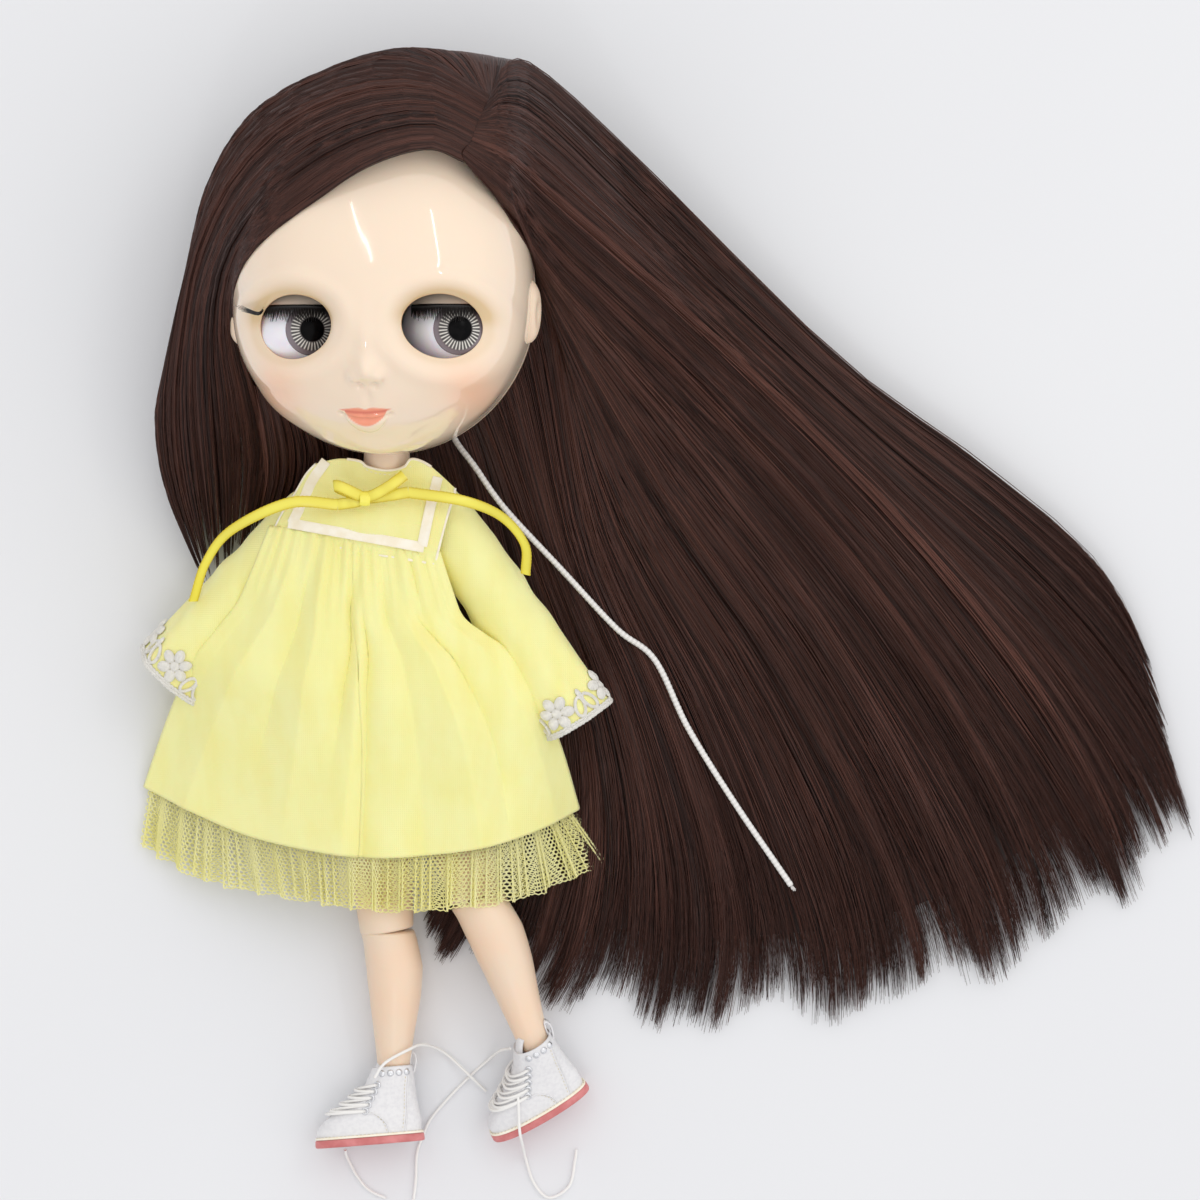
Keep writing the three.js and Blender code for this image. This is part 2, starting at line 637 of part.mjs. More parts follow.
// Ribbon bow on the collar and its two tails
const bowAt = point(-3.4, 63.6, collarHeight(0, 61.7) + COLLAR_THICKNESS + GAP);
const bow = new THREE.Shape();
bow.moveTo(-9, -1.2);
bow.quadraticCurveTo(-10, 3.4, -1.6, 1.4);
bow.lineTo(1.6, 1.6);
bow.quadraticCurveTo(9.6, 7.6, 10, 4.4);
bow.quadraticCurveTo(9, 0.4, 1.6, -1.6);
bow.quadraticCurveTo(-6, -3, -9, -1.2);
const bowBody = new THREE.ExtrudeGeometry(bow, { depth: 2.2, bevelEnabled: false, curveSegments: 8 });
put("ribbon_bow", bowBody.translate(bowAt.x, bowAt.y, bowAt.z), RIBBON_YELLOW, bodyGroup);
const ribbonSection = new THREE.Shape();
ribbonSection.moveTo(-RIBBON_THICKNESS / 2, -RIBBON_WIDTH / 2);
ribbonSection.lineTo(RIBBON_THICKNESS / 2, -RIBBON_WIDTH / 2);
ribbonSection.lineTo(RIBBON_THICKNESS / 2, RIBBON_WIDTH / 2);
ribbonSection.lineTo(-RIBBON_THICKNESS / 2, RIBBON_WIDTH / 2);
const ribbon = (points) => {
  const path = new THREE.CatmullRomCurve3(points, false, "centripetal");
  return new THREE.ExtrudeGeometry(ribbonSection, { steps: 28, extrudePath: path, bevelEnabled: false });
};
const ribbonRight = [
  point(-8.4, 32.6, 44.9),
  point(-22, 33, 45.6),
  point(-38.5, 25.6, 39),
  point(-46.4, 16.6, 31),
  point(-50.6, 5.4, 25.6),
];
const ribbonLeft = [
  point(11.4, 36, 44.9),
  point(27, 33.6, 45.2),
  point(37.6, 29.2, 42),
  point(44, 21.4, 37),
  point(44.2, 13, 33),
];
put("ribbon_tail_right", ribbon(ribbonRight), RIBBON_YELLOW);
put("ribbon_tail_left", ribbon(ribbonLeft), RIBBON_YELLOW);

// Arms: a shoulder ball on the upper arm, an elbow hinge and a hand that turns on a peg
const wristReach = UPPER_ARM_LENGTH + FOREARM_LENGTH - WRIST_INSET;
const upperShare = (share) => (share * UPPER_ARM_LENGTH) / wristReach;
const lowerShare = (share) => (UPPER_ARM_LENGTH + share * FOREARM_LENGTH) / wristReach;
const armStations = [
  [upperShare(0.1), 4.4, 4.2, 0],
  [upperShare(0.3), ARM_RADIUS, ARM_RADIUS - 0.3, 0],
  [upperShare(0.75), ARM_RADIUS - 0.3, ARM_RADIUS - 0.5, 0],
  [lowerShare(0.33), ARM_RADIUS, ARM_RADIUS - 0.4, 0],
  [lowerShare(0.66), ARM_RADIUS - 0.2, ARM_RADIUS - 0.6, 0],
  [1, WRIST_RADIUS + 0.2, WRIST_RADIUS, 0],
];
function arm(name, side, cuff) {
  const shoulder = bodyGroup.localToWorld(shoulderIn(side));
  const down = cuff.clone().sub(shoulder).normalize();
  const across = new THREE.Vector3().crossVectors(down, point(0, 0, 1)).normalize();
  const front = new THREE.Vector3().crossVectors(across, down).normalize();
  const along = down.clone().multiplyScalar(UPPER_ARM_LENGTH);
  const wrist = shoulder.clone().addScaledVector(down, wristReach);
  const rings = limbRings(shoulder, wrist.clone().sub(shoulder), front, armStations);
  const whole = solid(skin(rings));
  const elbow = shoulder.clone().add(along).addScaledVector(front, ELBOW_PIVOT_OFFSET);
  const tongue = [ELBOW_TONGUE_RADIUS, ELBOW_TONGUE_HALF];
  const [top, bottom] = hingeCut(whole, whole, elbow, down, front, across, ...tongue, ELBOW_FLEX);
  put(`upper_arm_${name}`, largest(top.add(ball(SHOULDER_BALL, shoulder))), SKIN);
  const peg = (grow, from, to) =>
    solid(
      bar(
        wrist.clone().addScaledVector(down, from),
        wrist.clone().addScaledVector(down, to),
        WRIST_PEG_RADIUS + grow,
        12,
      ),
    );
  put(`forearm_${name}`, largest(bottom.subtract(peg(GAP, -WRIST_PEG_LENGTH - GAP, 4))), SKIN);
  const handRings = limbRings(
    wrist,
    down.clone().multiplyScalar(HAND_LENGTH),
    front,
    [
      [0.03, 2.4, 3.2, 0],
      [0.3, 1.9, 3.8, 0],
      [0.7, 1.6, 3.6, 0],
      [0.95, 1.1, 2.2, 0],
    ],
    0,
    12,
  );
  put(`hand_${name}`, largest(solid(skin(handRings)).add(peg(0, -WRIST_PEG_LENGTH, 1))), SKIN);
  const length = UPPER_ARM_LENGTH + FOREARM_LENGTH + HAND_LENGTH + 1;
  return { shoulder, down, front, across, length };
}
const rightArm = arm("right", -1, RIGHT_CUFF);
const leftArm = arm("left", 1, LEFT_CUFF);

// Sleeves with lengthwise folds, and the lace cuffs at their ends
function sleeveRings(parts, grow, from, to, count = 20, levels = 5) {
  const rings = [];
  for (let r = 0; r <= levels; r += 1) {
    const share = r / levels;
    const at = parts.shoulder.clone().addScaledVector(parts.down, lerp(from, to, share));
    const base = lerp(SLEEVE_RADIUS, SLEEVE_END_RADIUS, smoothstep(share, 0, 1));
    const points = [];
    for (let i = 0; i < count; i += 1) {
      const angle = (i / count) * Math.PI * 2;
      const fold = 0.7 * smoothstep(share, 0.1, 0.6) * Math.sin(angle * SLEEVE_FOLDS + share * 2);
      const radius = base + fold + grow;
      const p = at.clone().addScaledVector(parts.across, Math.cos(angle) * radius);
      points.push(p.addScaledVector(parts.front, Math.sin(angle) * (radius - 0.6)));
    }
    rings.push(points);
  }
  return rings;
}
function cuffRings(parts, grow) {
  const from = parts.length - CUFF_LENGTH;
  return [0, 1].map((share) => {
    const at = parts.shoulder.clone().addScaledVector(parts.down, from + share * (CUFF_LENGTH + 1));
    const radius = SLEEVE_END_RADIUS + 1.1 + grow + share * 0.4;
    return ring(at, parts.across, parts.front, radius, radius - 0.6, 24);
  });
}
const sleeveStart = SHOULDER_BALL - 0.1;
const roomRings = bodyStations.map((station) => bodyRing(station, CLOTH_GAP));
const bodyRoom = solid(skin(roomRings).applyMatrix4(bodyFrame));
const sleeveForm = (parts, grow) =>
  solid(skin(sleeveRings(parts, grow, sleeveStart - grow, parts.length + grow)));
function sleeve(name, parts) {
  const outer = sleeveRings(parts, 0, sleeveStart, parts.length);
  const inner = sleeveRings(parts, -CLOTH, sleeveStart, parts.length);
  put(`sleeve_${name}`, largest(solid(wall(outer, inner)).subtract(bodyRoom)), CLOTH_YELLOW);
  put(`cuff_lace_${name}`, wall(cuffRings(parts, CUFF_THICKNESS), cuffRings(parts, 0)), LACE_WHITE);
}
sleeve("right", rightArm);
sleeve("left", leftArm);
const armholes = sleeveForm(rightArm, CLOTH_GAP).add(sleeveForm(leftArm, CLOTH_GAP));
const shoulderRoom = (side) => ball(SLEEVE_RADIUS + 0.9, bodyGroup.localToWorld(shoulderIn(side)));
const bodice = solid(wall(bodiceOuter, bodiceInner).applyMatrix4(bodyFrame))
  .subtract(armholes)
  .subtract(shoulderRoom(1))
  .subtract(shoulderRoom(-1));
put("dress_bodice", largest(bodice), CLOTH_YELLOW);

// Legs, turned so that their fronts look to the doll's right
function leg(name, side, knee, ankle) {
  const hip = bodyGroup.localToWorld(hipIn(side));
  const upper = knee.clone().sub(hip);
  const lower = ankle.clone().sub(knee);
  const down = upper.clone().normalize();
  const shinDown = lower.clone().normalize();
  const toUp = point(0, 0, 1);
  const front = new THREE.Vector3().crossVectors(down, toUp).normalize();
  const shinFront = new THREE.Vector3().crossVectors(shinDown, toUp).normalize();
  const axis = new THREE.Vector3().crossVectors(shinFront, shinDown).normalize();
  const thighStations = [
    [HIP_CLEAR / upper.length(), 6.6, 6.4, 0],
    [0.28, 8.6, 8.4, 0],
    [0.6, 8.6, 8.3, 0],
    [0.85, KNEE_RADIUS, KNEE_RADIUS - 0.3, 0],
    [1.14, KNEE_RADIUS, KNEE_RADIUS - 0.3, 0],
  ];
  const shinStations = [
    [-0.2, KNEE_RADIUS, KNEE_RADIUS - 0.3, 0],
    [0.1, KNEE_RADIUS, KNEE_RADIUS - 0.3, 0],
    [0.34, CALF_RADIUS, CALF_RADIUS - 0.4, -0.8],
    [0.6, 6.8, 6.6, -0.6],
    [0.84, ANKLE_RADIUS + 0.6, ANKLE_RADIUS + 0.4, 0],
    [0.97, ANKLE_RADIUS, ANKLE_RADIUS - 0.1, 0],
  ];
  const pivot = knee.clone().addScaledVector(shinFront, -KNEE_PIVOT_OFFSET);
  const thighSolid = solid(skin(limbRings(hip, upper, front, thighStations)));
  const shinSolid = solid(skin(limbRings(knee, lower, shinFront, shinStations)));
  const back = shinFront.clone().negate();
  const tongue = [KNEE_TONGUE_RADIUS, KNEE_TONGUE_HALF];
  const [top, bottom] = hingeCut(thighSolid, shinSolid, pivot, shinDown, back, axis, ...tongue, KNEE_FLEX);
  const peg = (grow, to) => solid(bar(hip, hip.clone().addScaledVector(down, to), HIP_PEG + grow, 12));
  put(`hip_ball_${name}`, ball(HIP_BALL, hip).add(peg(0, HIP_CLEAR + HIP_PEG_DEPTH)), SKIN);
  const thigh = top.subtract(peg(GAP, HIP_CLEAR + HIP_PEG_DEPTH + JOINT_GAP));
  put(`thigh_${name}`, largest(thigh), SKIN);
  put(`shin_${name}`, largest(bottom.add(ball(ANKLE_RADIUS - 0.4, ankle))), SKIN);
  return { ankle, shinDown, shinFront };
}
const rightLeg = leg("right", -1, RIGHT_KNEE, RIGHT_ANKLE);
const leftLeg = leg("left", 1, LEFT_KNEE, LEFT_ANKLE);

// Boots in their own frame: x to the toe, y up the leg, z to the side that lies down
const toe = BOOT_LENGTH - BOOT_HEEL;
const bootStations = [
  [0, (toe - BOOT_HEEL) / 2, BOOT_LENGTH / 2, BOOT_HALF_WIDTH],
  [3, (toe - BOOT_HEEL) / 2, BOOT_LENGTH / 2, BOOT_HALF_WIDTH + 0.2],
  [6, (toe - BOOT_HEEL) / 2 - 1.2, BOOT_LENGTH / 2 - 1.4, BOOT_HALF_WIDTH],
  [8.5, 4.4, 11, BOOT_HALF_WIDTH - 0.2],
  [11.5, 1.4, 7.9, BOOT_HALF_WIDTH - 0.2],
  [14.5, 0, 6.6, BOOT_HALF_WIDTH],
  [BOOT_HEIGHT, 0, BOOT_TOP_HALF, BOOT_TOP_HALF_WIDTH],
];
function bootRings(grow, from, to) {
  const ys = [from, ...bootStations.map(([y]) => y).filter((y) => y > from + 0.4 && y < to - 0.4), to];
  return ys.map((y) => {
    const next = Math.max(1, bootStations.findIndex(([height]) => height >= Math.min(y, BOOT_HEIGHT)));
    const [y0, c0, u0, w0] = bootStations[next - 1];
    const [y1, c1, u1, w1] = bootStations[next];
    const share = clamp((y - y0) / (y1 - y0), 0, 1);
    const centre = point(lerp(c0, c1, share), y, 0);
    const a = lerp(u0, u1, share) + grow;
    const b = lerp(w0, w1, share) + grow;
    return ring(centre, point(1, 0, 0), point(0, 0, 1), a, b, 16, 2.3);
  });
}
function boot(name, parts, turn, tilt, laceRoutes) {
  const up = parts.shinDown.clone().negate();
  const group = new THREE.Group();
  const across = new THREE.Vector3().crossVectors(parts.shinFront, up);
  group.applyMatrix4(new THREE.Matrix4().makeBasis(parts.shinFront, up, across));
  group.rotateZ(turn);
  group.rotateX(tilt);
  group.position.copy(parts.ankle);
  group.updateMatrixWorld();
  root.add(group);
  const drop = BOOT_HEIGHT - ANKLE_BELOW_TOP;
  const lower = (shape) => shape.translate(0, -drop, 0);
  const outer = solid(lower(skin(bootRings(0, 0, BOOT_HEIGHT))));
  const inner = solid(lower(skin(bootRings(-BOOT_WALL, BOOT_WALL, BOOT_HEIGHT + 1))));
  put(`boot_upper_${name}`, largest(outer.subtract(inner)), BOOT_WHITE, group);
  const footTop = drop - 0.6;
  const foot = solid(lower(skin(bootRings(-BOOT_WALL - GAP, BOOT_WALL + GAP, footTop))));
  const socket = ball(ANKLE_RADIUS + 1.6, point(0, 0, 0));
  put(`foot_${name}`, largest(foot.subtract(socket)), SKIN, group);
  const soleShape = new THREE.Shape();
  const edge = ring(point((toe - BOOT_HEEL) / 2, 0, 0), point(1, 0, 0), point(0, 1, 0),
    BOOT_LENGTH / 2 + SOLE_MARGIN, BOOT_HALF_WIDTH + SOLE_MARGIN, 28, 2.5);
  soleShape.setFromPoints(edge.map((p) => new THREE.Vector2(p.x, p.y)));
  const sole = new THREE.ExtrudeGeometry(soleShape, { depth: SOLE_THICKNESS, bevelEnabled: false });
  sole.rotateX(Math.PI / 2).translate(0, -drop - GAP, 0);
  put(`boot_sole_${name}`, sole, SOLE_PINK, group);
  const zigzag = [];
  for (let i = 0; i < LACING_ROWS * 2; i += 1) {
    const y = lerp(7.2, BOOT_HEIGHT - 2.4, i / (LACING_ROWS * 2 - 1));
    const fronts = bootRings(0, y, y + 0.01)[0].map((p) => p.x);
    const reach = Math.max(...fronts);
    const across = i % 2 === 0 ? -2.4 : 2.4;
    zigzag.push(point(reach + LACE_RADIUS + LACING_CLEAR, y - drop, across));
  }
  put(`boot_lacing_${name}`, tube(zigzag, LACE_RADIUS, 6, 24), LACE_WHITE, group);
  laceRoutes.forEach(([end, route]) => {
    put(`lace_end_${name}_${end}`, tube(route, LACE_RADIUS, 6, 16), LACE_WHITE);
  });
}
const floorLace = LACE_RADIUS + 0.4;
boot("right", rightLeg, RIGHT_BOOT_TURN, RIGHT_BOOT_TILT, [
  [
    "upper",
    [
      point(0.6, -131.2, 15.8),
      point(3.6, -127, 15.2),
      point(10.2, -123.4, 13.4),
      point(14.2, -122.4, 8.6),
      point(19.7, -125, floorLace + 0.8),
      point(26.6, -131, floorLace + 2 * LACE_RADIUS + 1),
      point(32.2, -136.6, floorLace),
    ],
  ],
  [
    "lower",
    [
      point(-8.4, -153.2, 4),
      point(-8, -155.6, 1.5),
      point(-5.1, -161.3, floorLace),
      point(-1.7, -165.2, floorLace),
      point(3.2, -167.6, floorLace),
    ],
  ],
]);
boot("left", leftLeg, LEFT_BOOT_TURN, LEFT_BOOT_TILT, [
  [
    "upper",
    [
      point(39.4, -123, 14.6),
      point(36.6, -124, 9.4),
      point(32.8, -127.6, floorLace + 0.4),
      point(27.2, -132.6, floorLace),
      point(21, -138.9, floorLace),
      point(16.2, -144.6, floorLace),
      point(14.1, -149, floorLace),
      point(12.2, -154.6, floorLace),
      point(11.9, -162, floorLace),
      point(11.2, -168, floorLace),
    ],
  ],
  [
    "lower",
    [
      point(41.7, -136.1, 15.7),
      point(41.9, -140, 15.6),
      point(42, -144.2, 14.6),
      point(42.4, -148.2, 14.2),
      point(43, -151.6, 8),
      point(43.6, -155.6, floorLace + 0.5),
      point(46.1, -163.2, floorLace),
      point(50.5, -167.4, floorLace),
      point(56.3, -164, floorLace),
      point(58, -156.6, floorLace),
      point(58.4, -153.4, floorLace),
    ],
  ],
]);

// Skirt: a back panel that lies flat and a front panel with folds, meeting at the side seams
const skirtHalf = (t) => lerp(SKIRT_TOP_HALF, SKIRT_HEM_HALF, t ** 0.9);
const skirtY = (t, across) => lerp(SKIRT_TOP_Y, SKIRT_HEM_Y + SKIRT_SIDE_RISE * across * across, t);
const skirtX = (t, across) => SKIRT_CENTRE_X + skirtHalf(t) * across;
const backUpper = [];
const backLower = [];
for (let r = 0; r <= 6; r += 1) {
  const t = lerp(0.14, 1, r / 6);
  const up = [];
  const low = [];
  for (let i = 0; i <= 12; i += 1) {
    const across = lerp(-1, 1, i / 12);
    up.push(point(skirtX(t, across), skirtY(t, across), CLOTH));
    low.push(point(skirtX(t, across), skirtY(t, across), 0));
  }
  backUpper.push(up);
  backLower.push(low);
}
put("skirt_back", sheet(backUpper, backLower), CLOTH_YELLOW);

// The cloth stands highest over the legs, which lie a little to one side of its middle.
const legSide = (across, t) => across - 0.24 * t * (1 - across * across);
function skirtTop(t, across, lift) {
  const height = lerp(SKIRT_TOP_HEIGHT, SKIRT_HEM_HEIGHT, smoothstep(t, 0, 0.9));
  const bulge = Math.sqrt(Math.max(0, 1 - legSide(across, t) ** 2)) ** lerp(0.7, 1, t);
  const fold = 2.3 * smoothstep(t, 0.02, 0.7) * Math.sin(across * SKIRT_FOLDS * 1.6 + 0.6 * Math.sin(7 * t));
  const z = CLOTH + GAP + height * bulge + fold * bulge + lift;
  return point(skirtX(t, across), skirtY(t, across), z);
}
const frontUpper = [];
const frontLower = [];
for (let r = 0; r <= 5; r += 1) {
  const t = r / 5;
  const up = [];
  const low = [];
  for (let i = 0; i <= 32; i += 1) {
    const across = Math.sin(lerp(-1, 1, i / 32) * Math.PI * 0.5);
    up.push(skirtTop(t, across, CLOTH));
    low.push(skirtTop(t, across, 0));
  }
  frontUpper.push(up);
  frontLower.push(low);
}
const cuffForm = (parts) => solid(skin(cuffRings(parts, CUFF_THICKNESS + CLOTH_GAP)));
const sleeveRoom = (parts) => sleeveForm(parts, CLOTH_GAP).add(cuffForm(parts));
const skirtFront = solid(sheet(frontUpper, frontLower))
  .subtract(sleeveRoom(rightArm))
  .subtract(sleeveRoom(leftArm))
  .subtract(bodyRoom)
  .subtract(solid(skin(bodiceYs.map((y) => bodyRing(bodyAt(y), BODICE_OUTSIDE + CLOTH_GAP))).applyMatrix4(bodyFrame)));
put("skirt_front", largest(skirtFront), CLOTH_YELLOW);

// Ruffle of net below the hem, gathered into many small folds
const ruffleUpper = [];
const ruffleLower = [];
for (let r = 0; r <= 1; r += 1) {
  const t = r;
  const up = [];
  const low = [];
  for (let i = 0; i <= 56; i += 1) {
    const across = Math.sin(lerp(-1, 1, i / 56) * Math.PI * 0.5);
    const y = SKIRT_HEM_Y + (SKIRT_SIDE_RISE - 2) * across * across - GAP - 0.4 - t * RUFFLE_DEPTH;
    const fold = lerp(0.4, 1.3, t) * Math.sin(lerp(-1, 1, i / 56) * RUFFLE_FOLDS * 1.57);
    const bulge = Math.sqrt(Math.max(0, 1 - legSide(across, 1) ** 2));
    const z = 6.4 + (lerp(19, 17.5, t) + fold) * bulge + 0.5 * across;
    const x = SKIRT_CENTRE_X + 2.6 * t * (1 + across) + lerp(SKIRT_HEM_HALF, RUFFLE_HALF, t) * across;
    up.push(point(x, y, z + CLOTH));
    low.push(point(x, y, z));
  }
  ruffleUpper.push(up);
  ruffleLower.push(low);
}
put("tulle_ruffle", sheet(ruffleUpper, ruffleLower), NET_YELLOW);

// Loose hair: a thick fan at the doll's left, and a lock at its right that goes under the sleeve
const headWorld = solid(headForm(HAIR_DEPTH + CLOTH_GAP).applyMatrix4(headGroup.matrixWorld));
const curve = (points) => {
  const flat = points.map(([x, y]) => point(x, y, 0));
  return new THREE.CatmullRomCurve3(flat, false, "centripetal");
};
function hairSlab(inner, outer, rows, columns, bulge, top, foot) {
  const innerCurve = curve(inner);
  const outerCurve = curve(outer);
  const up = [];
  const low = [];
  for (let r = 0; r <= rows; r += 1) {
    const t = r / rows;
    const a = innerCurve.getPointAt(t);
    const b = outerCurve.getPointAt(t);
    const chord = b.clone().sub(a);
    const outward = point(chord.y, -chord.x, 0).normalize();
    const rowUp = [];
    const rowLow = [];
    for (let i = 0; i <= columns; i += 1) {
      const u = i / columns;
      const p = a.clone().lerp(b, u).addScaledVector(outward, bulge * t * t * Math.sin(Math.PI * u));
      rowUp.push(point(p.x, p.y, top(t, u)));
      rowLow.push(point(p.x, p.y, foot));
    }
    up.push(rowUp);
    low.push(rowLow);
  }
  return solid(sheet(up, low));
}
const fanInner = [
  [30, 46],
  [33, 24],
  [39, 0],
  [52, -30],
  [66, -52],
  [71, -70],
  [52, -83],
  [17, -89],
];
const fanOuter = [
  [40, 152],
  [66, 146],
  [79, 130],
  [98, 104],
  [124, 79],
  [158, 60],
  [200, 22],
  [231, -4],
  [237, -50],
];
const fanTop = (t, u) => {
  const edge = Math.sin(Math.PI * clamp(u, 0.04, 0.97)) ** 0.5;
  const near = lerp(lerp(26, 10, u), 9, smoothstep(t, 0, 0.36));
  const tip = lerp(near, 2.8, smoothstep(t, 0.42, 1));
  return Math.max(2.2, tip * lerp(0.3, 1, edge));
};
const hairFan = hairSlab(fanInner, fanOuter, 13, 10, 62, fanTop, 0)
  .subtract(headWorld)
  .subtract(sleeveForm(leftArm, CLOTH_GAP))
  .subtract(solid(tube(cordRoute, CORD_RADIUS + GAP, 8, 40)));
put("hair_fan", largest(hairFan), HAIR);
const lockTop = (t, u) => {
  const edge = Math.sin(Math.PI * clamp(u, 0.08, 0.92)) ** 0.5;
  const high = 30 * Math.sin(Math.PI * lerp(0.12, 0.6, clamp(t / 0.4, 0, 1)));
  return Math.max(2.4, lerp(high, 7, smoothstep(t, 0.3, 0.85)) * lerp(0.4, 1, edge));
};
const hairLock = hairSlab(
  [
    [-52, 118],
    [-55, 90],
    [-61, 62],
    [-60, 40],
    [-52, 21],
  ],
  [
    [-20, 110],
    [-26, 80],
    [-22, 52],
    [-20, 38],
    [-31, 20],
  ],
  8,
  6,
  0,
  lockTop,
  0,
)
  .subtract(headWorld)
  .subtract(sleeveForm(rightArm, CLOTH_GAP));
put("hair_lock", largest(hairLock), HAIR);

export default root;
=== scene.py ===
import math

import bpy
import numpy as np
from mathutils import Matrix, Vector


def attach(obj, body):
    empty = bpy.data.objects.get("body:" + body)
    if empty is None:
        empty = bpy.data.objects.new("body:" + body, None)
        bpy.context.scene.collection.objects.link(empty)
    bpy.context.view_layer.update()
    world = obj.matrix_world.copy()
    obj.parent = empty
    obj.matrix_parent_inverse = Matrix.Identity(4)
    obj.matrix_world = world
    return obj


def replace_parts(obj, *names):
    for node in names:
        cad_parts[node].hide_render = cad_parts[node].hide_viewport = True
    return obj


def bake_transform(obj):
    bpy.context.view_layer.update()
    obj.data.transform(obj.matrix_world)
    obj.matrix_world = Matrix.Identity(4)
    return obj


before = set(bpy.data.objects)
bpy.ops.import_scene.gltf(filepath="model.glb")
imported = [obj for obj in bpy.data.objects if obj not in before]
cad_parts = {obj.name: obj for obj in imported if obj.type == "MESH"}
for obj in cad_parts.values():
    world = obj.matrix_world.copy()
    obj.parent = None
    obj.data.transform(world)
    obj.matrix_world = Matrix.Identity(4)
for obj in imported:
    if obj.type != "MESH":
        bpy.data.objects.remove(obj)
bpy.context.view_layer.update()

# Lengths below are in millimetres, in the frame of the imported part; meshes are made in metres.
MM = 0.001
CAMERA = (65.25, 5.8, 1400.0)
FRAME_WIDTH = 348.0
FRAME_PIXELS = 1200
RANDOM_SEED = 11
SIDES = {"right": -1, "left": 1}
rng = np.random.default_rng(RANDOM_SEED)


def seen(px, py, z):
    """The point at height z that shows at that place of the picture, counted in pixels from its top left."""
    scale = FRAME_WIDTH / FRAME_PIXELS * (1 - z / CAMERA[2])
    return (px - FRAME_PIXELS / 2) * scale + CAMERA[0], (FRAME_PIXELS / 2 - py) * scale + CAMERA[1], z


def lerp(a, b, t):
    return a + (b - a) * t


def smoothstep(x, low, high):
    t = np.clip((np.asarray(x, float) - low) / (high - low), 0, 1)
    return t * t * (3 - 2 * t)


def hill(x, width):
    return np.exp(-((np.asarray(x, float) / width) ** 2))


def unit(v):
    v = np.asarray(v, float)
    return v / np.maximum(np.linalg.norm(v, axis=-1, keepdims=True), 1e-12)


def cubic(a, b, c, d, f):
    """A smooth curve through four points, at a share f of the way from the second to the third."""
    return 0.5 * (2 * b + (c - a) * f + (2 * a - 5 * b + 4 * c - d) * f**2 + (3 * b - a - 3 * c + d) * f**3)


def spline_at(points, t):
    """Smooth curves through points (..., n, 3) at places t, counted in points."""
    p = np.asarray(points, float)
    p = np.concatenate([2 * p[..., :1, :] - p[..., 1:2, :], p, 2 * p[..., -1:, :] - p[..., -2:-1, :]], -2)
    i = np.clip(np.floor(t).astype(int), 0, p.shape[-2] - 4)
    f = (np.asarray(t, float) - i)[..., None]
    return cubic(*(np.take(p, i + k, axis=-2) for k in range(4)), f)


def run_of(path):
    """How far along a path each of its points lies."""
    return np.r_[0, np.cumsum(np.linalg.norm(np.diff(path, axis=0), axis=1))]


def walk(path, places):
    """The points at some distances along a path."""
    run = run_of(path)
    return np.stack([np.interp(places, run, path[:, k]) for k in range(3)], -1)


def spline(points, count):
    """A smooth curve through the points, as evenly spaced points."""
    fine = spline_at(points, np.linspace(0, len(points) - 1, 40 * len(points)))
    return walk(fine, np.linspace(0, run_of(fine)[-1], count))


def length_of(path):
    return float(np.linalg.norm(np.diff(path, axis=0), axis=1).sum())


def around(count):
    """The angles of points spaced evenly round a circle."""
    return np.linspace(0, 2 * math.pi, count, endpoint=False)


def frames(path, up=(0, 0, 1)):
    """Tangent, normal and side along a path; the normal starts towards up and doesn't twist."""
    tangent = unit(np.gradient(path, axis=0))
    normal = np.zeros_like(path)
    ref = np.asarray(up, float)
    for i, t in enumerate(tangent):
        ref = unit(ref - t * ref.dot(t))
        normal[i] = ref
    return tangent, normal, np.cross(tangent, normal)


def grid_faces(rows, cols, wrap=False):
    r = np.arange(rows - 1)[:, None]
    c = np.arange(cols if wrap else cols - 1)[None, :]
    n = (c + 1) % cols
    quads = [r * cols + c, r * cols + n, (r + 1) * cols + n, (r + 1) * cols + c]
    return np.stack(np.broadcast_arrays(*quads), -1).reshape(-1, 4)


